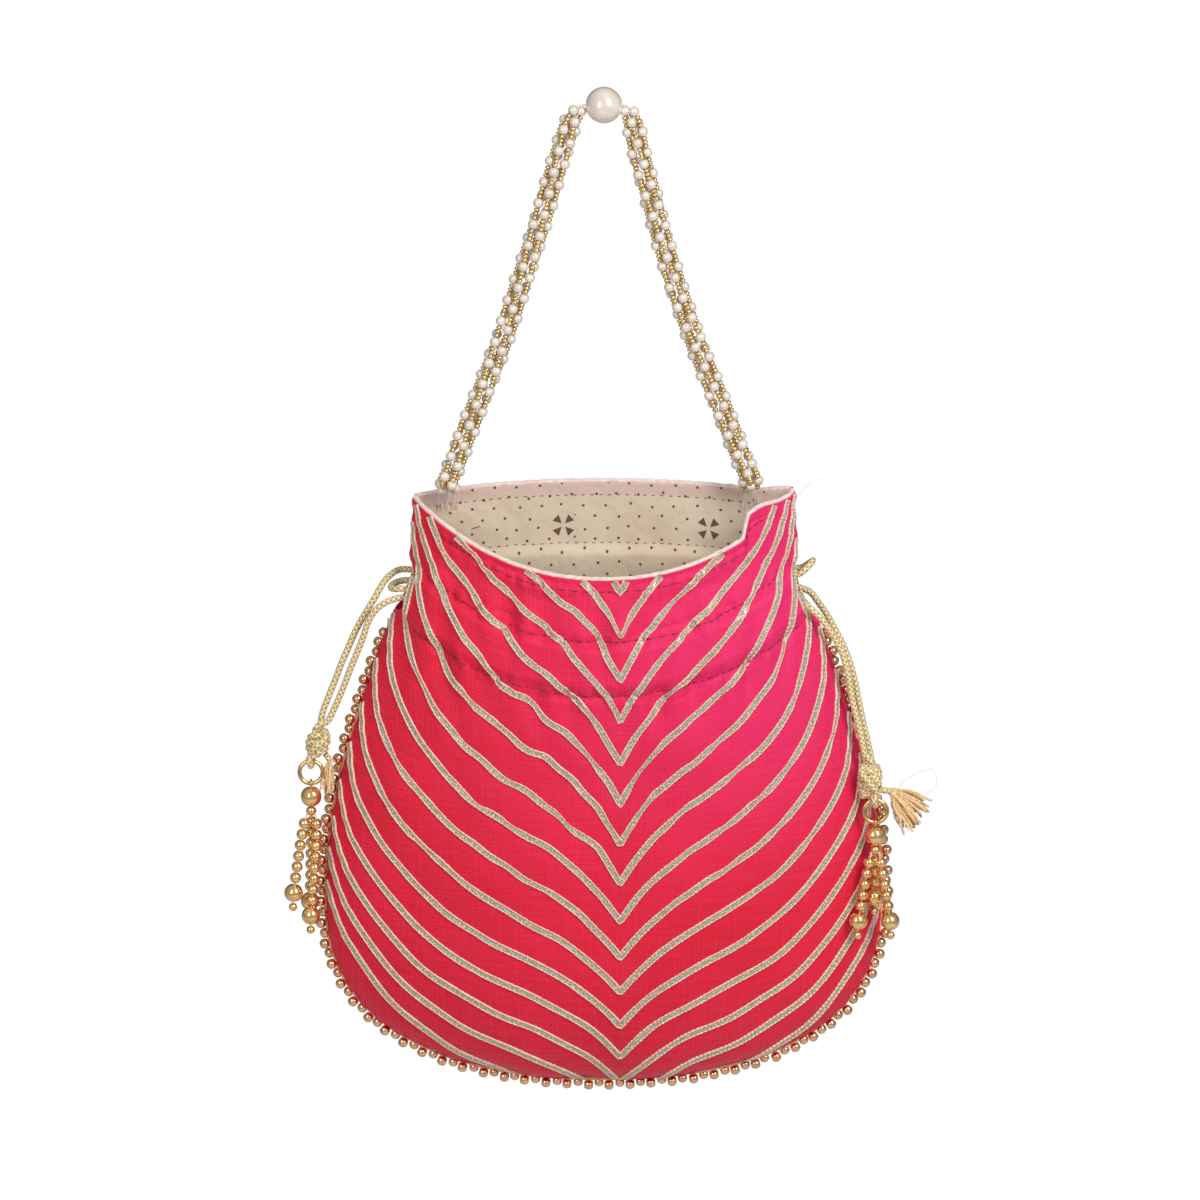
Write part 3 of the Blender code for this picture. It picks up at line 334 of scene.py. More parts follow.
def cloth(side, u, height, outward):
    """Points of the silk (outward 1) or of the lining (-1) in their real, creased and stuffed shape."""
    u, height = np.broadcast_arrays(np.asarray(u, float), np.asarray(height, float))
    tunnel = tunnel_share(height)
    pulled = u * (1 - (1 - SLIT_SHARE) * tunnel * np.abs(u) ** PULL_POWER) if outward > 0 else u
    base, normal = panel(side, pulled, height), panel_normal(side, pulled, height)
    x, z = base[..., 0], base[..., 2]
    calm = 1 - np.abs(u) ** CALM_POWER
    near_casing = np.where(height > CASING_STITCH_UPPER,
                           1 - PLEATS_LOST_ABOVE * ease((height - CASING_STITCH_UPPER) / PLEATS_REACH_ABOVE),
                           1 - ease((CASING_STITCH_LOWER - height) / PLEATS_REACH_BELOW))
    pleat = wave_sum(PLEATS[side], x, height) * near_casing
    rows = np.clip(sum(np.exp(-((height - row) / STITCH_REACH) ** 2)
                       for row in (CASING_STITCH_UPPER, CASING_STITCH_LOWER, RIM_Z - RIM_ROW_DROP)), 0, 1)
    pucker = (np.sqrt(np.abs(wave_sum(PUCKERS[side], x, height))) - 0.6) * rows
    dents = wave_sum(DENTS[side], x * DENT_STRETCH, z)
    near_seam = np.clip((np.abs(u) - SEAM_PUCKER_FROM) / (1 - SEAM_PUCKER_FROM), 0, 1)
    seam_pucker = np.sin(2 * np.pi * z / SEAM_PUCKER_PITCH) * near_seam
    below = ease((CASING_STITCH_LOWER - height) / BELOW_REACH)
    if outward > 0:
        puffed = quilting(side, x, z) * (QUILT_NEAR_MOUTH + (1 - QUILT_NEAR_MOUTH) * below)
        out = LAYER_OFFSET + tunnel * (TUNNEL + TUNNEL_PUFF + TUNNEL_PLEAT * pleat)
        out = out + (PLEAT_DEPTH * pleat * calm + PLEAT_PUFF) * (1 - tunnel) * near_casing
        out = out + PUCKER_DEPTH * (pucker + rows * PUCKER_LIFT) * (1 - 0.5 * tunnel) * calm
        out = out + DENT_DEPTH * dents * below * calm + QUILT_DEPTH * puffed
        out = out + SEAM_PUCKER * seam_pucker * (1 - tunnel)
    else:
        out = (LINING_PLEAT * pleat * calm - LINING_SINK) * (1 - tunnel) * near_casing
        out = out - (LAYER_OFFSET + tunnel * TUNNEL)
        flat = np.stack([normal[..., 0], 0 * x, normal[..., 2]], axis=-1)
        edge = np.clip((np.abs(u) - LINING_FLAT_FROM) / (1 - LINING_FLAT_FROM), 0, 1)
        edge = (edge * tunnel)[..., None]
        normal = unit(normal * (1 - edge) + unit(flat) * edge)
    points = base + normal * out[..., None]
    points[..., 2] += rim_lift(side, u, height)
    return points


def find_height(side, x, z):
    """The seam height of the places at x and z on a panel's own surface, and the share across it."""
    low, high = np.full(x.shape, SEAM_CORNER_Z), np.full(x.shape, RIM_Z + ABOVE_RIM)
    for _ in range(HALVINGS):
        middle = (low + high) / 2
        u = np.clip(x / half_width(middle), -1, 1)
        point_z = panel(side, u, middle)[..., 2] + rim_lift(side, u, middle)
        low, high = np.where(point_z < z, middle, low), np.where(point_z < z, high, middle)
    return np.clip(x / half_width(low), -1, 1), low


# Mesh making


class Shape:
    """Gathers vertices, faces, flat coordinates and materials for one object."""

    def __init__(self):
        self.points, self.faces, self.spots, self.slots = [], [], [], []
        self.count = 0

    def grid(self, points, spots, slot=0):
        """Rows of points joined by quads; gives the numbers of its vertices."""
        rows, columns = points.shape[:2]
        index = np.arange(rows * columns).reshape(rows, columns)
        corners = (index[:-1, :-1], index[1:, :-1], index[1:, 1:], index[:-1, 1:])
        faces, before = np.stack([corner.ravel() for corner in corners], axis=1), self.count
        self.add(points.reshape(-1, 3), faces, spots.reshape(-1, 2), slot)
        return index + before

    def add(self, points, faces, spots=None, slot=0):
        self.points.append(np.asarray(points, float))
        self.spots.append(np.zeros((len(points), 2)) if spots is None else np.asarray(spots, float))
        self.faces += [tuple(int(corner) + self.count for corner in face) for face in faces]
        self.slots += [slot] * len(faces)
        self.count += len(points)

    def make(self, name, *materials, smooth=True):
        mesh = bpy.data.meshes.new(name)
        mesh.from_pydata(np.concatenate(self.points).tolist(), [], self.faces)
        for material in materials:
            mesh.materials.append(material)
        mesh.polygons.foreach_set("material_index", self.slots)
        mesh.polygons.foreach_set("use_smooth", [smooth] * len(mesh.polygons))
        corners = np.empty(len(mesh.loops), dtype=np.int32)
        mesh.loops.foreach_get("vertex_index", corners)
        layer = mesh.uv_layers.new(name="cloth_mm")
        layer.data.foreach_set("uv", np.concatenate(self.spots)[corners].ravel())
        mesh.update()
        made = bpy.data.objects.new(name, mesh)
        bpy.context.scene.collection.objects.link(made)
        return made


def ball_shape(segments, rings):
    """A unit ball along Z: points, faces and flat coordinates."""
    points, faces = [(0, 0, 1)], []
    for ring in range(1, rings):
        polar = math.pi * ring / rings
        for segment in range(segments):
            turn = 2 * math.pi * segment / segments
            out = math.sin(polar)
            points.append((out * math.cos(turn), out * math.sin(turn), math.cos(polar)))
    points.append((0, 0, -1))
    for segment in range(segments):
        after = (segment + 1) % segments
        faces.append((0, 1 + segment, 1 + after))
        for ring in range(rings - 2):
            a = 1 + ring * segments
            faces.append((a + segment, a + segment + segments, a + after + segments, a + after))
        last = 1 + (rings - 2) * segments
        faces.append((last + segment, len(points) - 1, last + after))
    return np.array(points), faces


def add_turned(shape, points, faces, centre, way, slot=0):
    """Adds a bead that is made along Z, turned to its way on the thread and set at its centre."""
    turn = Vector((0, 0, 1)).rotation_difference(Vector(way)).to_matrix()
    shape.add(points @ np.array(turn).T + np.array(centre), faces, slot=slot)


def add_seed(shape, centre, radius, way, slot, length=0.72):
    """A seed bead: a ball squashed along its bore to a share of its length."""
    points, faces = ball_shape(9, 6)
    add_turned(shape, points * (radius, radius, radius * length), faces, centre, way, slot)


def add_bead(shape, centre, diameter, way, segments, rings):
    """A round bead with a dimple at each end of its bore."""
    points, faces = ball_shape(segments, rings)
    dimple = np.clip((np.abs(points[:, 2]) - 0.90) / 0.10, 0, 1)
    points = points * (diameter / 2)
    points[:, 2] *= 1 - 0.30 * dimple
    add_turned(shape, points, faces, centre, way)


def add_tube(shape, points, radii, sides=12, slot=0, flat=1.0):
    """A tube along points: flat coordinates are millimetres round it and along it."""
    points = [Vector(point) for point in points]
    if not hasattr(radii, "__len__"):
        radii = [radii] * len(points)
    befores, afters = [points[0], *points[:-1]], [*points[1:], points[-1]]
    ways = [(after - before).normalized() for before, after in zip(befores, afters)]
    side_way = ways[0].orthogonal().normalized()
    run, rows, spots = 0.0, [], []
    for index, (point, way, radius) in enumerate(zip(points, ways, radii)):
        if index:
            side_way = (side_way - way * side_way.dot(way)).normalized()
            run += (point - points[index - 1]).length
        other = way.cross(side_way)
        row, spot = [], []
        for side in range(sides + 1):
            turn = 2 * math.pi * side / sides
            row.append(point + side_way * (math.cos(turn) * radius)
                       + other * (math.sin(turn) * radius * flat))
            spot.append((side / sides * 2 * math.pi * CORD / 2 * 1000, run * 1000))
        rows.append(row)
        spots.append(spot)
    index = shape.grid(np.array(rows), np.array(spots), slot)
    caps = [tuple(index[0][:-1][::-1]), tuple(index[-1][:-1])]
    shape.faces += [tuple(int(corner) for corner in cap) for cap in caps]
    shape.slots += [slot, slot]


def add_ring(shape, centre, radius, wire, axis, around, sides):
    """A ring of wire round an axis."""
    axis = Vector(axis)
    first = axis.orthogonal().normalized()
    second = axis.cross(first)
    rows = []
    for step in range(around + 1):
        turn = 2 * math.pi * step / around
        out = first * math.cos(turn) + second * math.sin(turn)
        rows.append([Vector(centre) + out * (radius + wire * math.cos(a)) + axis * (wire * math.sin(a))
                     for a in [2 * math.pi * side / sides for side in range(sides + 1)]])
    shape.grid(np.array(rows), np.zeros((around + 1, sides + 1, 2)))


def dress(made, body, slot=None, *parts):
    """Says which body a piece rides on and which of the model's parts it stands in for; its slot is not used.
    """
    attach(made, body)
    if parts:
        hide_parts(*parts)
    return made


# Materials


def linear(code):
    """An sRGB hex colour as linear red, green, blue and alpha."""
    values = [int(code[index:index + 2], 16) / 255 for index in (1, 3, 5)]
    return (*[value / 12.92 if value <= 0.04045 else ((value + 0.055) / 1.055) ** 2.4 for value in values], 1)


def node(tree, kind, *values, take=None, **settings):
    """Adds a node with its settings and its inputs, in order or by name, as values or links."""
    made = tree.nodes.new(kind)
    named = {name.replace("_", " "): settings.pop(name) for name in list(settings) if name[0].isupper()}
    for name, value in settings.items():
        setattr(made, name, value)
    sockets = [socket for socket in made.inputs if socket.enabled]
    by_name = {socket.name: socket for socket in sockets}
    for socket, value in [*zip(sockets, values), *((by_name[name], value) for name, value in named.items())]:
        if isinstance(value, bpy.types.NodeSocket):
            tree.links.new(value, socket)
        else:
            socket.default_value = linear(value) if isinstance(value, str) else value
    return made.outputs[take] if take else next((out for out in made.outputs if out.enabled), None)


def material(name, colour, roughness, metallic=0.0, **sockets):
    made = bpy.data.materials.new(name)
    made.use_nodes = True
    tree = made.node_tree
    shader = tree.nodes["Principled BSDF"]
    shader.inputs["Base Color"].default_value = linear(colour)
    shader.inputs["Roughness"].default_value = roughness
    shader.inputs["Metallic"].default_value = metallic
    for socket, value in sockets.items():
        shader.inputs[socket.replace("_", " ")].default_value = value
    return made, tree, shader.inputs


MATH, VECTORS, NOISE = "ShaderNodeMath", "ShaderNodeVectorMath", "ShaderNodeTexNoise"
MIX, RANGE, MAPPING = "ShaderNodeMix", "ShaderNodeMapRange", "ShaderNodeMapping"
PLACES, SPLIT, BUMP = "ShaderNodeTexCoord", "ShaderNodeSeparateXYZ", "ShaderNodeBump"


def raw_silk():
    # Dupion silk, plain woven with uneven yarn: slubs run across it and it glows pink at a glancing light
    made, tree, surface = material("dupion_silk_plain_woven", "#DA2139", 0.42, Sheen_Weight=0.24,
                                   Sheen_Roughness=0.35, Sheen_Tint=linear("#FF5C9C"),
                                   Specular_IOR_Level=0.55, Specular_Tint=linear("#FF9CC0"))
    place = node(tree, PLACES, take="UV")
    # Slubs 17 mm long, warp streaks 29 mm long and clouds of 45 mm
    slubs, warp, clouds = [
        node(tree, NOISE, node(tree, MAPPING, place, Scale=scale), Scale=1.0, Detail=detail)
        for scale, detail in (((0.06, 1.5, 1), 3.0), ((1.9, 0.035, 1), 3.0), ((0.022, 0.022, 1), 1.0))]
    thread = node(tree, MATH, node(tree, RANGE, slubs, 0.42, 0.72), node(tree, RANGE, warp, 0.45, 0.75),
                  operation="ADD")
    ground = node(tree, MIX, node(tree, RANGE, clouds, 0.35, 0.65), "#DD1B2B", "#E41F35", data_type="RGBA")
    # Painted sheen: towards the upper right of the mouth, where the key lamp falls, the colour is painted
    # pinker
    ways = node(tree, SPLIT, place).node.outputs
    drawn = node(tree, MATH, node(tree, RANGE, ways[0], -60.0, 70.0),
                 node(tree, RANGE, ways[1], -300.0, -185.0), operation="MULTIPLY")
    ground = node(tree, MIX, drawn, ground, "#E62A6C", data_type="RGBA")
    colour = node(tree, MIX, node(tree, MATH, thread, 0.22, operation="MULTIPLY"), ground, "#F2426E",
                  data_type="RGBA")
    tree.links.new(colour, surface["Base Color"])
    # Threads lie about 0.25 mm apart; drawn 0.9 mm apart so that the weave shows at all
    grid = node(tree, VECTORS, node(tree, VECTORS, place, (7, 7, 0), operation="MULTIPLY"), operation="SINE")
    ways = node(tree, SPLIT, grid).node.outputs
    weave = node(tree, MATH, ways[0], ways[1], operation="MULTIPLY")
    relief = node(tree, MATH, weave, 0.15, node(tree, MATH, thread, 0.8, operation="MULTIPLY"),
                  operation="MULTIPLY_ADD")
    tree.links.new(node(tree, BUMP, Height=relief, Distance=0.00011, Strength=1.0), surface["Normal"])
    tree.links.new(node(tree, MATH, thread, -0.08, 0.48, operation="MULTIPLY_ADD"), surface["Roughness"])
    return made


def printed_cotton():
    # Cotton cambric, block printed with brown dots and four-triangle sprigs: flat, matt cream
    made, tree, surface = material("cotton_cambric_block_printed", "#DFCEB4", 0.9, Sheen_Weight=0.15)
    place = node(tree, PLACES, take="UV")
    up = node(tree, SPLIT, place, take="Y")
    # Dots of 1 mm, a little out of line, in staggered rows 4.3 mm apart: a grid of 6.1 mm that lies aslant
    aslant = node(tree, MAPPING, place, Rotation=(0, 0, math.pi / 4), Scale=(1 / 6.1, 1 / 6.1, 1))
    away = node(tree, "ShaderNodeTexVoronoi", aslant, Scale=1.0, Randomness=0.28, voronoi_dimensions="2D")
    dots = node(tree, MATH, away, 0.55 / 6.1, operation="LESS_THAN")
    # Sprigs 56 mm apart: four triangles that point at a common middle, 8.4 mm across
    cell = node(tree, VECTORS, node(tree, VECTORS, place, (1 / 56, 1 / 56, 0), (0.779, 0.412, 0),
                                    operation="MULTIPLY_ADD"), operation="FRACTION")
    middle = node(tree, VECTORS, cell, (0.5, 0.5, 0), operation="SUBTRACT")
    turned = node(tree, MAPPING, middle, Rotation=(0, 0, math.pi / 4), Scale=(56, 56, 1))
    ways = node(tree, SPLIT, node(tree, VECTORS, turned, operation="ABSOLUTE")).node.outputs
    longer = node(tree, MATH, ways[0], ways[1], operation="MAXIMUM")
    shorter = node(tree, MATH, ways[0], ways[1], operation="MINIMUM")
    flank = node(tree, MATH, longer, 0.5, -0.45, operation="MULTIPLY_ADD")
    sprig = node(tree, MATH, node(tree, MATH, longer, 4.3, operation="LESS_THAN"),
                 node(tree, MATH, shorter, flank, operation="LESS_THAN"), operation="MULTIPLY")
    clear = node(tree, MATH, node(tree, MATH, longer, 6.0, operation="GREATER_THAN"), dots,
                 operation="MULTIPLY")
    printed = node(tree, MATH, sprig, clear, operation="MAXIMUM")
    clouds = node(tree, NOISE, place, Scale=0.03, Detail=2.0)
    ground = node(tree, MIX, node(tree, RANGE, clouds, 0.3, 0.7), "#D1BEA3", "#DECEB7", data_type="RGBA")
    # The silk's own turning lies behind the hem band and lends it its pink
    ground = node(tree, MIX, node(tree, RANGE, up, -151.4, -150.9), ground, "#D4B9AC", data_type="RGBA")
    tree.links.new(node(tree, MIX, printed, ground, "#6B4A44", data_type="RGBA"), surface["Base Color"])
    # Creases of 8 mm and cambric threads 0.3 mm apart, drawn 0.8 mm apart so that they show
    creases = node(tree, NOISE, place, Scale=0.13, Detail=2.0)
    threads = node(tree, NOISE, place, Scale=1.25, Detail=1.0)
    relief = node(tree, MATH, threads, 0.08, creases, operation="MULTIPLY_ADD")
    tree.links.new(node(tree, BUMP, Height=relief, Distance=0.0010, Strength=1.0), surface["Normal"])
    return made


def metallic_lace():
    # Gota lace, woven of flat metallized film on cotton: a dull mesh between its borders, with painted shade
    # in the mesh's hollows and bright painted glints on its film
    made, tree, surface = material("gota_lace_woven_metallized_film", "#C2B394", 0.36, 0.5)
    place = node(tree, PLACES, take="UV")
    crossed = node(tree, MAPPING, place, Rotation=(0, 0, math.pi / 4), Scale=(7.3, 7.3, 1))
    ways = node(tree, SPLIT, node(tree, VECTORS, crossed, operation="SINE")).node.outputs
    mesh = node(tree, MATH, ways[0], ways[1], operation="MULTIPLY")
    # Painted shade and glints: the mesh's hollows are coloured dark brown, and a noise lightens patches of
    # the film
    glints = node(tree, NOISE, place, Scale=2.4, Detail=2.0)
    height = node(tree, MATH, glints, 1.2, mesh, operation="MULTIPLY_ADD")
    holes = node(tree, RANGE, height, -0.1, 0.9)
    colour = node(tree, MIX, holes, "#76603F", "#DACFB4", data_type="RGBA")
    # Painted glints: near-white specks scattered over the film
    painted_glints = node(tree, RANGE, node(tree, NOISE, place, Scale=1.4, Detail=3.0), 0.51, 0.61)
    tree.links.new(node(tree, MIX, painted_glints, colour, "#FBF6E8", data_type="RGBA"), surface["Base Color"])
    tree.links.new(node(tree, BUMP, Height=holes, Distance=0.0002, Strength=1.0), surface["Normal"])
    return made


def lace_border():
    # Twisted cotton cord, sewn along both sides of the lace: matt cream with a pink cast from the silk
    made, tree, surface = material("cotton_cord_twisted", "#F0CDB4", 0.75, Sheen_Weight=0.2)
    place = node(tree, PLACES, take="UV")
    # Patches of 3 mm where the cord lies looser, and a twist of 1.2 mm
    patches = node(tree, NOISE, place, Scale=0.35, Detail=2.0)
    colour = node(tree, MIX, node(tree, RANGE, patches, 0.35, 0.7), "#EFC9B0", "#FBE9D4", data_type="RGBA")
    tree.links.new(colour, surface["Base Color"])
    slanted = node(tree, MAPPING, place, Rotation=(0, 0, math.pi / 4), Scale=(5.2, 5.2, 1))
    slanted = node(tree, SPLIT, slanted, take="X")
    twist = node(tree, MATH, slanted, operation="SINE")
    tree.links.new(node(tree, BUMP, Height=twist, Distance=0.0002, Strength=1.0), surface["Normal"])
    return made


def gold_braid():
    # Metallized film and viscose cord, braided of eight strands: a pale gold herringbone with glints along
    # it, its colour painted darker in the crevices between the strands (painted shade) and paler on their
    # crowns (painted highlight)
    made, tree, surface = material("metallic_viscose_cord_braided", "#DDBD74", 0.45, 0.25, Sheen_Weight=0.2)
    place = node(tree, PLACES, take="UV")
    # Four strands each way round a 7.85 mm girth, so strands repeat every 1.96 mm along the cord
    slants = [node(tree, MATH, node(tree, VECTORS, place, (3.2, lean, 0), operation="DOT_PRODUCT",
                                    take="Value"), operation="SINE") for lean in (3.2, -3.2)]
    strands = node(tree, MATH, *slants, operation="MAXIMUM")
    fibres = node(tree, NOISE, place, Scale=3.0, Detail=3.0)
    # Painted shade: the colour darkens in the crevices between the strands and pales on their crowns
    relief_and_painted_shade = node(tree, MATH, fibres, 0.25, node(tree, RANGE, strands, -0.3, 0.9), operation="MULTIPLY_ADD")
    colour = node(tree, MIX, relief_and_painted_shade, "#C09A58", "#FFEDBC", data_type="RGBA")
    tree.links.new(colour, surface["Base Color"])
    tree.links.new(node(tree, BUMP, Height=relief_and_painted_shade, Distance=0.0003, Strength=1.0), surface["Normal"])
    return made


def frayed_yarn():
    # Viscose core yarn, spun and then cut loose: soft copper-orange with pale gold threads in it
    made, tree, surface = material("viscose_yarn_spun", "#D9A05C", 0.7, 0.05, Sheen_Weight=0.3)
    # Fibres bunch over about 1 mm
    fibres = node(tree, NOISE, node(tree, PLACES, take="UV"), Scale=0.9, Detail=3.0)
    colour = node(tree, MIX, node(tree, RANGE, fibres, 0.35, 0.65), "#DCA264", "#FBE4B4", data_type="RGBA")
    tree.links.new(colour, surface["Base Color"])
    tree.links.new(node(tree, BUMP, Height=fibres, Distance=0.0001, Strength=1.0), surface["Normal"])
    return made


def plated_bead(name, colour, deep, roughness):
    # Acrylic beads, vacuum plated: a bright metal skin, thinner and darker in patches of 2 mm
    made, tree, surface = material(name, colour, roughness, 1.0, Coat_Weight=0.3, Coat_Roughness=0.05)
    patches = node(tree, NOISE, node(tree, PLACES, take="Object"), Scale=500.0, Detail=1.0)
    worn = node(tree, MIX, node(tree, RANGE, patches, 0.4, 0.8), colour, deep, data_type="RGBA")
    tree.links.new(worn, surface["Base Color"])
    rough = node(tree, MATH, patches, 0.06, roughness - 0.03, operation="MULTIPLY_ADD")
    tree.links.new(rough, surface["Roughness"])
    return made


def imitation_pearl():
    # Acrylic pearl, dipped in nacre lacquer: warm cream with a soft, deep shine
    made, tree, surface = material("acrylic_pearl_lacquer_dipped", "#EFE4D8", 0.20, 0.15, Coat_Weight=0.8,
                                   Coat_Roughness=0.07, Sheen_Weight=0.10, Sheen_Tint=linear("#F6D9D2"),
                                   Specular_IOR_Level=0.7)
    # The lacquer's lustre clouds over about 5 mm
    lustre = node(tree, NOISE, node(tree, PLACES, take="Object"), Scale=200.0, Detail=1.0)
    colour = node(tree, MIX, node(tree, RANGE, lustre, 0.35, 0.65), "#F2E8DC", "#EAD8C8", data_type="RGBA")
    tree.links.new(colour, surface["Base Color"])
    return made


def brass_ring():
    # Brass wire, drawn and polished: warm and bright, with faint drawing marks
    made, tree, surface = material("brass_wire_polished", "#E6BC78", 0.16, 1.0)
    marks = node(tree, NOISE, node(tree, PLACES, take="Object"), Scale=300.0, Detail=1.0)
    tree.links.new(node(tree, MIX, marks, "#DDB26C", "#F0CC8C", data_type="RGBA"), surface["Base Color"])
    tree.links.new(node(tree, MATH, marks, 0.08, 0.10, operation="MULTIPLY_ADD"), surface["Roughness"])
    return made


def thread_material(name, colour):
    # Sewing thread, spun: matt, with the twist showing only as a fine change of tone
    made, tree, surface = material(name, colour, 0.7, Sheen_Weight=0.3)
    # A twist of 0.4 mm
    twist = node(tree, NOISE, node(tree, PLACES, take="Object"), Scale=2500.0, Detail=1.0)
    tree.links.new(node(tree, BUMP, Height=twist, Distance=0.00005, Strength=1.0), surface["Normal"])
    return made


def folded_cotton():
    # Cotton cambric, folded over the mouth's edge: tinted by the silk and a little fluffy
    made, tree, surface = material("cotton_cambric_folded", "#EBCFC6", 0.9, Sheen_Weight=0.3)
    place = node(tree, PLACES, take="UV")
    patches = node(tree, NOISE, place, Scale=0.33, Detail=3.0)
    colour = node(tree, MIX, node(tree, RANGE, patches, 0.35, 0.7), "#F4E8DC", "#EDC2C0", data_type="RGBA")
    tree.links.new(colour, surface["Base Color"])
    fluff = node(tree, NOISE, place, Scale=2.0, Detail=3.0)
    tree.links.new(node(tree, BUMP, Height=fluff, Distance=0.0003, Strength=1.0), surface["Normal"])
    return made


def paper_white():
    # Paper, calendered and matt: lit like paper, and plain white where the camera sees it
    made, tree, _ = material("paper_calendered", "#E4E4E4", 0.9)
    seen = node(tree, "ShaderNodeLightPath", take="Is Camera Ray")
    glow = node(tree, "ShaderNodeEmission", "#FFFFFF", 1.0)
    mixed = node(tree, "ShaderNodeMixShader", seen, tree.nodes["Principled BSDF"].outputs[0], glow)
    tree.links.new(mixed, tree.nodes["Material Output"].inputs["Surface"])
    return made


SILK, COTTON, LACE, BORDER = raw_silk(), printed_cotton(), metallic_lace(), lace_border()
BRAID, FRAY, PEARL_SKIN, BRASS = gold_braid(), frayed_yarn(), imitation_pearl(), brass_ring()
TRIM_GOLD = plated_bead("acrylic_bead_plated_rose_gold", "#F8C49A", "#DCA274", 0.13)
TASSEL_GOLD = plated_bead("acrylic_bead_plated_gold", "#FFD896", "#E6B476", 0.12)
SEED_GOLD = plated_bead("glass_seed_bead_lined_gold", "#F4DCA0", "#E2C07A", 0.2)
TAPE = thread_material("polyester_tape_woven", "#EFC49A")
# Dark maroon thread, partly painted shade: its darkness also stands for the shade along the puckered stitch
# rows
RED_THREAD = thread_material("polyester_thread_spun", "#6E0C28")
PALE_THREAD = thread_material("nylon_thread_drawn", "#E8E2D8")
PINK_THREAD = thread_material("silk_thread_reeled", "#E87C98")
RIM_CLOTH = folded_cotton()


# Camera: a very long lens, 12 degrees above the pouch's middle, as the photo shows next to no perspective

CAMERA_RISE, CAMERA_LENS, VIEW_WIDTH = math.radians(12), 600.0, 0.462
aim = Vector((-0.0015, 0, -0.1868))
far = VIEW_WIDTH * CAMERA_LENS / 36
camera_data = bpy.data.cameras.new("camera")
camera_data.lens = CAMERA_LENS
camera = bpy.data.objects.new("camera", camera_data)
camera.location = aim + Vector((0, -math.cos(CAMERA_RISE), math.sin(CAMERA_RISE))) * far
camera.rotation_euler = (math.pi / 2 - CAMERA_RISE, 0, 0)
bpy.context.scene.collection.objects.link(camera)
bpy.context.scene.camera = camera


# Drawstrings, with their knots, tails, rings and tassels


def casing_run(side, heights, layer, direction):
    """The stretch of a drawstring inside the casing, from one slit to the other."""
    start, end = heights
    half = PANEL_COLUMNS // 2
    steps = [index / half for index in range(-half, half + 1)]
    shares = [step * (1 + COLUMN_CROWDING * (1 - step ** 2)) for step in steps]
    shares = [share for share in shares if abs(share) < SLIT_SHARE - SLIT_MARGIN_SHARE]
    points = []
    for u in (-EXIT_SHARE, *shares, EXIT_SHARE):
        height = start + (end - start) * (u + EXIT_SHARE) / (2 * EXIT_SHARE)
        at_slit = abs(u) ** SLIT_POWER
        offset = layer * (CORD + GAP) / 2 * (1 - at_slit) + SLIT_LIFT * at_slit
        points.append(Vector(panel(side, u, height) + panel_normal(side, u, height) * offset))
    return points if direction > 0 else points[::-1]


def drawstring(word, leg_up, front_run, loop, back_run, leg_down):
    """The braid from its knot up, round through the casing and down to the knot again."""
    knot, half = KNOT[word], KNOT_HALF[word]
    top = knot + Vector((0, 0, half * 0.5))
    rise = knot + Vector((0, 0, half + 0.002))
    end = knot + LEG_END + Vector((0, 0, half))
    route = smooth_line([top, rise, *leg_up, *front_run, *loop, *back_run, *leg_down, end], 0.0012)
    shape = Shape()
    add_tube(shape, route, CORD / 2, 14)
    cord = shape.make(f"braided_drawstring_{word}", BRAID)
    return dress(cord, "bag", "gold_braid", f"drawstring_{word}"), route


def knot(word):
    """The braid's knot: wraps round the two legs, and the loop below them that holds the ring."""
    centre, half = KNOT[word], KNOT_HALF[word]
    hand_of_knot = -1 if word == "left" else 1
    ring_top = RING_CENTRE[word] + Vector((0, 0, RING_RADIUS))
    shape = Shape()
    for hand in (-1, 1):
        core = [centre + Vector((0.0009 * hand, 0.0011 * hand, half + 0.0012)),
                centre + Vector((0.0012 * hand, 0.0004 * hand, half * 0.3)),
                centre + Vector((-0.0009 * hand, -0.0008, -half * 0.7)),
                ring_top + Vector((0.0006 * hand, 0.0019 * hand, 0.0016)),
                ring_top + Vector((0.0004 * hand, 0.0017 * hand, -0.0006)),
                ring_top + Vector((0, 0, -0.0021))]
        add_tube(shape, smooth_line(core, 0.0008), CORD / 2)
    for order in range(KNOT_WRAPS[word]):
        share = order / (KNOT_WRAPS[word] - 1) - 0.5
        middle = centre + Vector((0, 0, -share * half * 1.35))
        swell = 1 - 0.22 * (2 * share) ** 2
        around = []
        for step in range(29):
            turn = 2 * math.pi * step / 28
            x, y = KNOT_WRAP_X * swell * math.cos(turn), KNOT_WRAP_Y * swell * math.sin(turn)
            z = x * math.tan(KNOT_LEAN) + 0.0004 * math.sin(2 * turn + order)
            around.append(middle + Vector((x, y, z)))
        add_tube(shape, around, CORD / 2)
    # The end that crosses over the front of the wraps, from above on one side to below on the other
    over = [centre + Vector((x * hand_of_knot, y, z * half)) for x, y, z in
            ((-0.0024, -0.0012, 1.0), (-0.0030, -0.0040, 0.62), (0, -0.0056, 0.05), (0.0028, -0.0042, -0.55),
             (0.0018, -0.0012, -0.95))]
    add_tube(shape, smooth_line(over, 0.0008), CORD / 2)
    return dress(shape.make(f"braid_knot_{word}", BRAID), "bag", "gold_braid")


def strand_of_yarn(start, way, length, seed, droop=0.5, wander=0.36, steps=9):
    """A loose yarn's points: it leaves along a way, bends down and wanders."""
    pick = random.Random(seed)
    point, way, points = Vector(start), Vector(way).normalized(), [Vector(start)]
    sway = Vector((pick.uniform(-1, 1), pick.uniform(-0.6, 0.6), pick.uniform(-0.5, 0.5))) * wander
    for step in range(steps):
        way = (way + Vector((0, 0, -droop / steps)) + sway * math.cos(step * 0.9 + seed)).normalized()
        point = point + way * length / steps
        points.append(point)
    return points


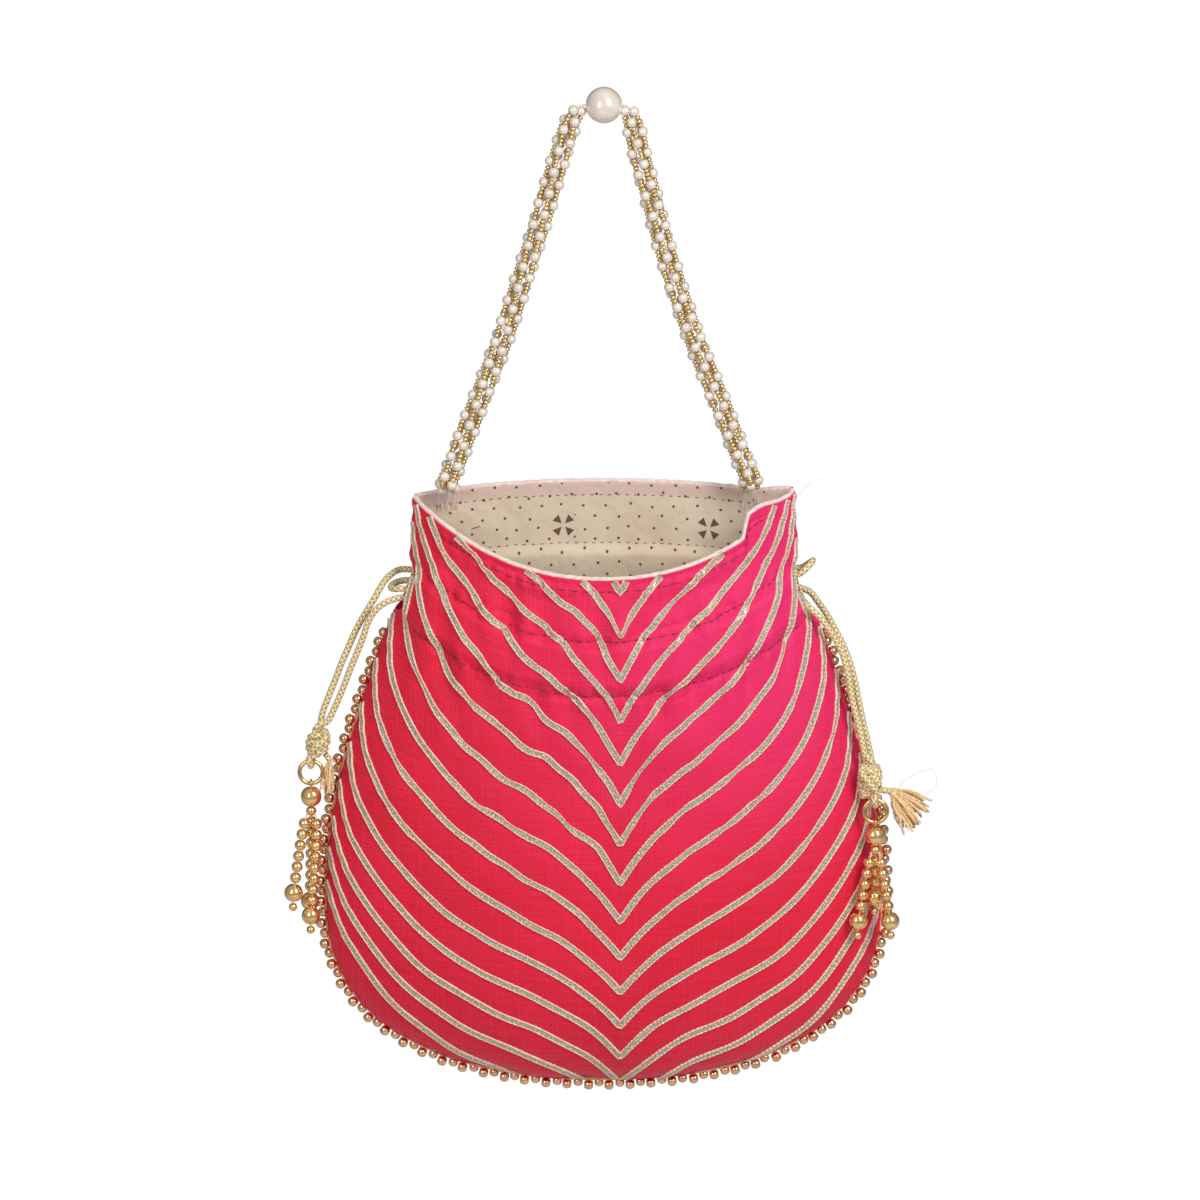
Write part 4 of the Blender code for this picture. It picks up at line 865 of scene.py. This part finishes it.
def frayed_tail(word, length, count, spread):
    """The braid's cut end: a short whole stretch, then its loosened yarns."""
    route = Route(smooth_line(TAIL[word], 0.002))
    whole = route.length * 0.26
    shape = Shape()
    add_tube(shape, [route.at(whole * step / 8)[0] for step in range(9)],
             [CORD / 2 * (0.9 + 0.1 * step / 8) for step in range(9)])
    start, way = route.at(whole)
    end = route.at(route.length)[0]
    for index in range(count):
        turn = index * 2.399
        out = Vector((0, math.cos(turn), math.sin(turn))) * CORD * 0.42 * math.sqrt((index + 0.5) / count)
        goal = (end - start).normalized() + Vector((0.12, math.cos(turn) * 0.35, math.sin(turn))) * spread
        yarn = strand_of_yarn(start + out - way * 0.001, goal, length * chance.uniform(0.7, 1.1), index)
        add_tube(shape, yarn, [0.00044, *[0.00052] * (len(yarn) - 2), 0.00042], 6, slot=1 if index % 7 else 0)
    return dress(shape.make(f"frayed_tail_{word}", BRAID, FRAY), "bag", "frayed_yarn", f"knot_tail_{word}")


def tassel(word):
    """The hanger ring, the ball below it with its eye, and three strings of beads."""
    ring_centre = RING_CENTRE[word]
    shape = Shape()
    add_ring(shape, ring_centre, RING_RADIUS, RING_WIRE / 2, (0, 1, 0), around=56, sides=14)
    ring = shape.make(f"hanger_ring_{word}", BRASS)
    dress(ring, f"ring_{word}", "brass_wire", f"tassel_ring_{word}")

    hook = ring_centre + Vector((0, 0, -RING_RADIUS))
    ball_centre = hook - Vector((0, 0, RING_WIRE / 2 + GAP + BALL / 2))
    shape = Shape()
    add_bead(shape, ball_centre, BALL, (0, 0, 1), 36, 24)
    eye_centre = hook + Vector((0, 0, RING_WIRE / 2 + GAP - (EYE_RADIUS - EYE_WIRE / 2)))
    add_ring(shape, eye_centre, EYE_RADIUS, EYE_WIRE / 2, (1, 0, 0), around=28, sides=10)
    add_bead(shape, ball_centre - Vector((0, 0, BALL / 2 + NECK_BEAD_DROP)), SMALL_BEAD, (0, 0, 1), 24, 16)
    ball = shape.make(f"tassel_ball_shown_{word}", TASSEL_GOLD)
    dress(ball, f"tassel_{word}", "rose_gold_beads", f"tassel_ball_{word}")

    foot = ball_centre - Vector((0, 0, BALL / 2 + GAP))
    for order, ((start, middle, end), count) in enumerate(zip(SPREAD[word], BEADS[word]), 1):
        ball_at = FIRST_BEAD + (count - 1) * BEAD_PITCH + SMALL_BEAD / 2 + BALL / 2
        end_at = ball_at + BALL / 2 + END_BEAD / 2
        length = end_at + END_BEAD / 2
        route = Route(smooth_line([foot + Vector((*start, 0)), foot + Vector((*middle, -STRAND_BEND)),
                                   foot + Vector((*end, -ball_at)), foot + Vector((*end, -length))], 0.001))
        shape = Shape()
        add_tube(shape, [route.at(length * step / 24)[0] for step in range(25)], 0.00032, 6, slot=1)
        for index in range(count):
            place, way = route.at(FIRST_BEAD + index * BEAD_PITCH)
            add_bead(shape, place, BEAD_PITCH, way, 18, 12)
        for distance, size in ((ball_at, BALL * 0.9), (end_at, END_BEAD)):
            place, way = route.at(distance)
            add_bead(shape, place, size, way, 26, 18)
        string = shape.make(f"bead_string_{word}_{order}", TASSEL_GOLD, TAPE)
        dress(string, f"beads_{word}_{order}", "rose_gold_beads", f"tassel_strand_{word}_{order}")
    return [ring, ball]


ROUTES = {"left": (LEFT_LEG_FRONT, casing_run(FRONT, CASING_RUNS["left"][0], 1, 1), RIGHT_LOOP,
                   casing_run(BACK, CASING_RUNS["left"][1], 1, -1), LEFT_LEG_BACK),
          "right": (RIGHT_LEG_FRONT, casing_run(FRONT, CASING_RUNS["right"][0], -1, -1), LEFT_LOOP,
                    casing_run(BACK, CASING_RUNS["right"][1], -1, 1), RIGHT_LEG_BACK)}
# Each frayed end: its yarns' length, their count and how far they spread
TAILS = {"left": (0.0120, 40, 0.20), "right": (0.0160, 80, 0.44)}
for word in ("left", "right"):
    cord, route = drawstring(word, *ROUTES[word])
    on_cord = [knot(word), frayed_tail(word, *TAILS[word]), *tassel(word)]
    tuple(route[0])
    round(Route(route).length, 4)
    [tuple(point) for point in route]


# Silk and lining


CLOTH_COLUMNS, FINE_ROWS, FINE_ROWS_TO_Z, COARSE_ROWS = 141, 74, -0.196, 86


def cloth_panel(name, side, outward, look, slot, node_name):
    """A closed shell of cloth: the visible face, the same cloth's inner face and its edges."""
    columns = np.sin(np.linspace(-1, 1, CLOTH_COLUMNS) * np.pi / 2)
    heights = np.concatenate([np.linspace(RIM_Z, FINE_ROWS_TO_Z, FINE_ROWS, endpoint=False),
                              np.linspace(FINE_ROWS_TO_Z, SEAM_CORNER_Z, COARSE_ROWS)])
    u, height = np.meshgrid(columns, heights)
    points = cloth(side, u, height, outward)
    spots = np.stack([u * half_width(height) * 1000, height * 1000], axis=-1)
    shape = Shape()
    order = slice(None) if side == FRONT else slice(None, None, -1)
    shape.grid(points[:, order], spots[:, order])
    made = shape.make(name, look)
    thicken = made.modifiers.new("cloth", "SOLIDIFY")
    thicken.thickness = CLOTH
    thicken.offset = 0
    dress(made, "bag", slot, node_name)


for side, word in ((FRONT, "front"), (BACK, "back")):
    cloth_panel(f"raw_silk_{word}", side, 1, SILK, "crimson_raw_silk", f"silk_{word}")
    cloth_panel(f"cotton_lining_{word}", side, -1, COTTON, "printed_cotton", f"lining_{word}")


# Lace: how its course wavers where the cloth is drawn in, and how its width takes the folds


CLIMB_FROM, CLIMB_POWER = 0.93, 2.2
WOBBLE_RISE, KINK_REACH, KINK_RISE, STEADY_TIP = 0.0011, 0.0011, 0.0019, 0.012
FOLD_WIDENS, FOLD_NARROWS, WEAVE_WAVERS, WEAVE_WAVES = 0.16, 0.95, 0.05, 2600
NORMAL_REACH, RIM_CLEAR, FEWEST_PLACES, LACE_LIFT = 0.0012, 0.0002, 6, 0.00006
# Across the lace: a share of its half width and the height above the silk, from its middle out to its edge
LACE_SIDE = ((0.66, 0.00036), (0.72, 0.00064), (0.86, 0.00074), (0.99, 0.00040), (1.0, -0.00015))
LACE_SECTION = (*[(-share, lift) for share, lift in reversed(LACE_SIDE)], (0.0, 0.00046), *LACE_SIDE)
# The section's stretches with their finish: border, woven middle, border
LACE_STRETCHES = ((0, 4, 1), (4, 6, 0), (6, 10, 1))


def chevron_line(side, tip_z, order, hand):
    """Places on one arm of a chevron, from its tip outwards."""
    slope = float(arm_slope(order))
    tip_x = CHEVRON_X * -side
    half = BELLY_HALF - hand * tip_x
    distance = np.arange(0, half, 0.0002)
    share = distance / half
    # Close to the side seam the cloth turns away, so the lace climbs beside it
    climb = EDGE_CLIMB * np.clip((share - CLIMB_FROM) / (1 - CLIMB_FROM), 0, 1) ** CLIMB_POWER
    z = tip_z + chevron_rise(distance, slope, half) + climb
    x = tip_x + hand * (cloth_half(z) - hand * tip_x) * share * (1 - crowding(z) * (1 - share))
    places = [Vector((d * 55, order * 3.7, hand * 5.1 + side)) for d in distance]
    wobble = np.array([noise.noise(place) for place in places])
    kinks = np.array([noise.noise(place * 1.7) for place in places])
    near_tip = np.clip(distance / STEADY_TIP, 0, 1)
    drawn = drawn_in(z) * near_tip * (1 - share ** 4)
    return x + KINK_REACH * kinks * drawn, z + WOBBLE_RISE * wobble * near_tip + KINK_RISE * kinks * drawn


def lace_ribbon(shape, side, x, z):
    """One lace: a woven middle between two raised borders, laid on the silk along places in front view."""
    inside = (z > BOTTOM_Z) & (np.abs(x) < LACE_EDGE_SHARE * half_width(z))
    rim = cloth(side, np.clip(x / NECK_HALF, -1, 1), RIM_Z, 1)[..., 2]
    inside &= z < rim - RIM_CLEAR
    runs, start = [], None
    for index, keep in enumerate([*inside, False]):
        if keep and start is None:
            start = index
        elif not keep and start is not None:
            runs.append((start, index))
            start = None
    for start, end in runs:
        if end - start >= FEWEST_PLACES:
            lay_run(shape, side, x[start:end], z[start:end])


def lay_run(shape, side, x, z):
    """One unbroken stretch of a lace, laid on the silk by its height and its slope there."""
    passed = np.concatenate([[0], np.cumsum(np.hypot(np.diff(x), np.diff(z)))])
    even = np.linspace(0, passed[-1], max(4, int(passed[-1] / LACE_STEP)))
    x, z = np.interp(even, passed, x), np.interp(even, passed, z)
    u, height = find_height(side, x, z)
    centre = cloth(side, u, height, 1)
    along = unit(np.gradient(centre, axis=0))
    step = NORMAL_REACH
    right = cloth(side, *find_height(side, x + step, z), 1) - cloth(side, *find_height(side, x - step, z), 1)
    upward = cloth(side, *find_height(side, x, z + step), 1) - cloth(side, *find_height(side, x, z - step), 1)
    normal = np.cross(right, upward)
    normal = unit(normal * np.where(normal[..., 1:2] * side < 0, -1, 1))
    across = unit(np.cross(along, normal))
    run = np.concatenate([[0], np.cumsum(np.linalg.norm(np.diff(centre, axis=0), axis=1))])
    folds = np.array([noise.noise(Vector((a * 95, b * 70, side * 3.0))) for a, b in zip(x, z)])
    width = LACE_WIDTH / 2 * (1 + WEAVE_WAVERS * np.sin(run * WEAVE_WAVES) + FOLD_WIDENS * folds
                              - FOLD_NARROWS * drawn_in(z) * np.clip(folds, 0, 0.6))
    rows = []
    for share, lift in LACE_SECTION:
        shift = across * (width * share)[:, None]
        foot = cloth(side, *find_height(side, x + shift[:, 0], z + shift[:, 2]), 1)
        plane = centre + shift
        depth = np.clip(((foot - plane) * normal).sum(axis=1), -0.0004, 0.0010)
        rows.append(plane + normal * (depth + CLOTH / 2 + LACE_LIFT + lift)[:, None])
    points = np.stack(rows, axis=1)
    across_mm = np.array([share for share, _ in LACE_SECTION])[None, :] * LACE_WIDTH * 500
    spots = np.stack(np.broadcast_arrays(across_mm, run[:, None] * 1000), axis=-1)
    if side == BACK:
        points, spots = points[:, ::-1], spots[:, ::-1]
    for first, last, slot in LACE_STRETCHES:
        shape.grid(points[:, first:last + 1], spots[:, first:last + 1], slot)


def lace_names(word, count, cut):
    whole = [f"lace_{word}_{order:02d}" for order in range(1, count + 1)]
    return whole + [f"lace_{word}_{order:02d}_{hand}" for order in range(count + 1, count + cut + 1)
                    for hand in ("left", "right")]


for side, word in ((FRONT, "front"), (BACK, "back")):
    shape = Shape()
    for order, tip_z in enumerate(chevron_tips()[:CHEVRONS + CUT_CHEVRONS[side]], 1):
        arms = zip(chevron_line(side, tip_z, order, -1), chevron_line(side, tip_z, order, 1))
        lace_ribbon(shape, side, *[np.concatenate([left[::-1], right[1:]]) for left, right in arms])
    laces = shape.make(f"chevron_laces_{word}", LACE, BORDER)
    dress(laces, "bag", "metallic_lace", *lace_names(word, CHEVRONS, CUT_CHEVRONS[side]))


# Stitching, the rolled rim and loose threads


# Each kind of stitch: its pitch, its length and its thread's radius
SILK_STITCH, LINING_STITCH, FRINGE_PITCH = (0.0031, 0.0023, 0.00023), (0.0033, 0.0014, 0.00017), 0.00035

def stitches(shape, side, height, outward, pitch, length, radius, ends=0.93):
    """A row of running stitches that lie on the cloth at a seam height."""
    u = np.linspace(-ends, ends, 400)
    points = cloth(side, u, np.full(u.shape, height), outward)
    normal = panel_normal(side, u, np.full(u.shape, height)) * outward
    line = Route(points + normal * (CLOTH / 2 + radius * 0.4))
    distance = pitch
    while distance < line.length - length:
        dash = [line.at(distance + length * share)[0] for share in (0, 0.2, 0.5, 0.8, 1)]
        sunk = Vector(normal[200]) * radius * 1.6
        add_tube(shape, [dash[0] - sunk, *dash[1:-1], dash[-1] - sunk], radius, 5)
        distance += pitch * chance.uniform(0.92, 1.08)


def rolled_rim(side, word):
    """The turned edge where the lining shows above the silk."""
    u = np.concatenate([np.linspace(-1, 0.70, 150), np.linspace(0.705, 1, 60)])
    top = np.full(u.shape, RIM_Z)
    middle = (cloth(side, u, top, 1) + cloth(side, u, top, -1)) / 2
    radii, points = [], []
    for index, point in enumerate(middle):
        rough = noise.noise(Vector((index * 0.35, side * 4.0, 0)))
        points.append(Vector(point) + Vector((0, 0, 0.0004 + 0.00025 * rough)))
        radii.append(0.00095 + 0.00022 * noise.noise(Vector((index * 0.6, side * 9.0, 1.7))))
    shape = Shape()
    add_tube(shape, points, radii, 10)
    dress(shape.make(f"rolled_rim_{word}", RIM_CLOTH), "bag", "printed_cotton")


for side, word in ((FRONT, "front"), (BACK, "back")):
    rolled_rim(side, word)
    shape = Shape()
    for height in (RIM_Z - RIM_ROW_DROP, CASING_STITCH_UPPER, CASING_STITCH_LOWER):
        stitches(shape, side, height, 1, *SILK_STITCH)
    for height in (RIM_Z - LINING_ROW_DROP, CASING_STITCH_UPPER):
        stitches(shape, side, height, -1, *LINING_STITCH)
    dress(shape.make(f"running_stitches_{word}", RED_THREAD), "bag")


def seam_fringe(hand, word, low, high):
    """The cut edges of the silk and its lace, which stand out of the side seam above the casing."""
    shape = Shape()
    for index in range(int((high - low) / FRINGE_PITCH)):
        z = low + FRINGE_PITCH * index
        start = Vector((hand * (float(half_width(z)) + 0.0001), chance.uniform(-0.0012, 0.0008), z))
        way = Vector((hand, chance.uniform(-0.8, 0.3), chance.uniform(-0.7, 0.7)))
        way *= chance.uniform(0.0006, 0.0016)
        middle = start + way * 0.6 + Vector((0, 0, chance.uniform(-0.0003, 0.0003)))
        add_tube(shape, [start, middle, start + way], 0.00011, 5, slot=index % 3 % 2)
    dress(shape.make(f"seam_fringe_{word}", PALE_THREAD, PINK_THREAD), "bag")


seam_fringe(-1, "left", -0.1690, -0.1470)
seam_fringe(1, "right", -0.1700, -0.1490)

# Single threads: the points that each curls through, its radius and its stuff
LOOSE_THREADS = {
    "stray_thread_left": (((-0.0505, 0.0058, -0.1612), (-0.0516, 0.0046, -0.1602), (-0.0500, 0.0044, -0.1594),
                           (-0.0482, 0.0046, -0.1590), (-0.0470, 0.0054, -0.1586)), 0.00018, RED_THREAD),
    "hair_thread_right": (((0.1113, -0.0117, -0.2617), (0.1160, -0.0125, -0.2550), (0.1217, -0.0125, -0.2519),
                           (0.1267, -0.0120, -0.2508), (0.1282, -0.0118, -0.2570),
                           (0.1236, -0.0118, -0.2610)), 0.00010, PALE_THREAD),
    "stray_thread_right": (((0.0695, -0.004, -0.1490), (0.0745, -0.005, -0.1452), (0.0790, -0.005, -0.1400),
                            (0.0832, -0.004, -0.1384)), 0.00010, PALE_THREAD)}
for name, (points, radius, look) in LOOSE_THREADS.items():
    shape = Shape()
    add_tube(shape, smooth_line(points, 0.0012), radius, 6)
    dress(shape.make(name, look), "bag")


# Beaded edging


def seam_line():
    """The outline from the left slit round the bottom to the right slit."""
    points, steps = [], 120
    for index in range(steps + 1):
        z = TRIM_TOP_Z + (SEAM_CORNER_Z - TRIM_TOP_Z) * index / steps
        points.append(Vector((-float(half_width(z)), 0, z)))
    corner = float(half_width(SEAM_CORNER_Z))
    for index in range(1, steps):
        x = -corner * math.cos(math.pi * index / steps)
        points.append(Vector((x, 0, float(outline_z(x)))))
    points += [Vector((-point.x, 0, point.z)) for point in reversed(points[:steps + 1])]
    return Route(points)


def bead_edging():
    """Pairs of beads in a zigzag along the seam, sewn to a narrow tape."""
    seam = seam_line()
    pairs = round(seam.length / TRIM_PAIR_PITCH)
    step = seam.length / pairs / 4
    shape, tape = Shape(), []
    for index in range(4 * pairs + 1):
        place, along = seam.at(step * index)
        outward = Vector((along.z, 0, -along.x))
        if index % 2 == 1:
            outer = index % 4 == 3
            out = TRIM_BEAD / 2 + 0.0004 + (TRIM_ZIGZAG if outer else 0) + chance.uniform(-0.0002, 0.0002)
            shift = along * (chance.uniform(-0.0002, 0.0002) + (0 if outer else 0.0001))
            aside = Vector((0, (-0.0006 if outer else 0.0005) + chance.uniform(-0.0003, 0.0003), 0))
            add_bead(shape, place + outward * out + shift + aside, TRIM_BEAD + 0.0001, along, 16, 11)
    for index in range(int(seam.length / TAPE_STEP)):
        place, along = seam.at(TAPE_STEP * index)
        outward = Vector((along.z, 0, -along.x))
        tape.append(place + outward * (0.0009 + 0.00012 * math.sin(index * 1.3)))
    radii = [0.00125 + 0.00012 * math.sin(index * 1.7) for index in range(len(tape))]
    add_tube(shape, tape, radii, 8, slot=1, flat=0.72)
    dress(shape.make("beaded_edging", TRIM_GOLD, TAPE), "bag", "rose_gold_beads", "bead_trim")


bead_edging()


# Handle


def tack_point(x):
    """Where a strand is sewn to the back lining, just inside the mouth."""
    base = panel(BACK, x / float(half_width(TACK_Z)), TACK_Z)
    return Vector((x, base[1] - (LAYER_GAP / 2 + CLOTH + GAP + THREAD / 2), TACK_Z))


def strand_line(leg, hand, angle):
    """One leg of a strand: its course, read by distance, out to its place in the turned bundle."""
    route = Route(smooth_line(leg, 0.002))
    points = []
    steps = int(route.length / 0.0012)
    for step in range(steps + 1):
        distance = route.length * step / steps
        place, along = route.at(distance)
        side_way = along.cross(Vector((0, 1, 0))).normalized()
        front_way = side_way.cross(along).normalized()
        share = float(ease(distance / BUNDLE_OPENS))
        radius = TOP_BUNDLE * min(distance / FIRST_PEARL, 1) + (BUNDLE_RADIUS - TOP_BUNDLE) * share
        turn = (angle if hand < 0 else math.pi - angle) + BUNDLE_TURN * distance / route.length
        points.append(place + (side_way * math.cos(turn) + front_way * math.sin(turn)) * radius)
    tack = tack_point(leg[-1][0] + side_way.x * math.cos(turn) * BUNDLE_RADIUS * TACK_SPREAD)
    return smooth_line([*points[::3], tack + ABOVE_TACK, tack], 0.0008), route.length


def handle_strand(order):
    """One strand from tack to tack: pearls with three seed beads between each two, on a thread."""
    angle = 2 * math.pi * (order - 1) / STRANDS
    stagger = ((order - 1) * 2 % STRANDS) / STRANDS * STRAND_PITCH
    shape, lines = Shape(), []
    for hand, leg in ((-1, LEG_LEFT), (1, LEG_RIGHT)):
        line, length = strand_line(leg, hand, angle)
        route = Route(line)
        lines.append(line)
        last = length - LAST_PEARL_ABOVE_TACK + (leg[-1][2] - TACK_Z)
        centre = FIRST_PEARL + stagger
        while centre < last:
            place, way = route.at(centre)
            add_bead(shape, place, STRAND_PEARL * chance.uniform(0.97, 1.02), way, 16, 11)
            for seed in (-1, 0, 1) if centre + STRAND_PITCH / 2 < last else ():
                place, way = route.at(centre + STRAND_PITCH / 2 + seed * SEED_PITCH)
                add_seed(shape, place, STRAND_SEED * SEED_RADIUS_SHARE, way, slot=1)
            centre += STRAND_PITCH
    add_tube(shape, [*reversed(lines[0]), *lines[1]], 0.00022, 6, slot=2)
    made = shape.make(f"pearl_strand_{order}", PEARL_SKIN, SEED_GOLD, PALE_THREAD)
    dress(made, "handle", "imitation_pearl", f"handle_strand_{order}")


for order in range(1, STRANDS + 1):
    handle_strand(order)


def big_pearl():
    """The pearl at the top, drilled from side to side."""
    points, faces = ball_shape(64, 44)
    profile = np.abs(points[:, 2])
    points = points * (PEARL / 2)
    bore = np.clip((profile - 0.985) / 0.015, 0, 1)
    points[:, 2] *= 1 - 0.12 * bore
    turned = np.stack([points[:, 2], points[:, 1], points[:, 0]], axis=1) + (0, 0, PEARL / 2)
    shape = Shape()
    shape.add(turned, [face[::-1] for face in faces])
    dress(shape.make("big_pearl", PEARL_SKIN), "pearl", "imitation_pearl", "handle_pearl")


big_pearl()


# Studio: white paper well below the hanging pouch, soft lamps and an even sky


def studio():
    """Lights the pouch softly in front of white paper."""
    paper = Shape()
    half, height = 6.0, -0.85
    corners = [(-half, -half, height), (half, -half, height), (half, half, height), (-half, half, height)]
    paper.add(corners, [(0, 1, 2, 3)])
    floor = paper.make("paper_floor", paper_white(), smooth=False)

    world = bpy.data.worlds.new("white_studio")
    world.use_nodes = True
    bpy.context.scene.world = world
    tree = world.node_tree
    seen = node(tree, "ShaderNodeLightPath", take="Is Camera Ray")
    # The room is light above and in front of the pouch and darker behind it: that draws dark rims on beads
    frontness = node(tree, VECTORS, node(tree, PLACES, take="Generated"), (0, -1, 0.6),
                     operation="DOT_PRODUCT", take="Value")
    level = node(tree, MATH, node(tree, RANGE, frontness, -0.7, 0.9), 0.43, 0.12, operation="MULTIPLY_ADD")
    sky = node(tree, "ShaderNodeBackground", "#FFFFFF", level)
    backdrop = node(tree, "ShaderNodeBackground", "#FFFFFF", 1.0)
    mixed = node(tree, "ShaderNodeMixShader", seen, sky, backdrop)
    tree.links.new(mixed, tree.nodes["World Output"].inputs["Surface"])

    # Two upright soft boxes: each draws one tall soft highlight on the beads and the pearls
    for name, place, power in (("key", (0.80, -1.10, 0.70), 15.4), ("fill", (-0.75, -1.30, 0.30), 4.6)):
        lamp_data = bpy.data.lights.new(name, "AREA")
        lamp_data.shape = "RECTANGLE"
        lamp_data.size, lamp_data.size_y = 0.4, 1.0
        lamp_data.energy = power
        lamp = bpy.data.objects.new(name, lamp_data)
        lamp.location = place
        lamp.rotation_euler = (Vector((0, 0, -0.25)) - Vector(place)).to_track_quat("-Z", "Y").to_euler()
        bpy.context.scene.collection.objects.link(lamp)


studio()
bpy.context.scene.view_settings.view_transform = "Standard"
bpy.context.view_layer.update()
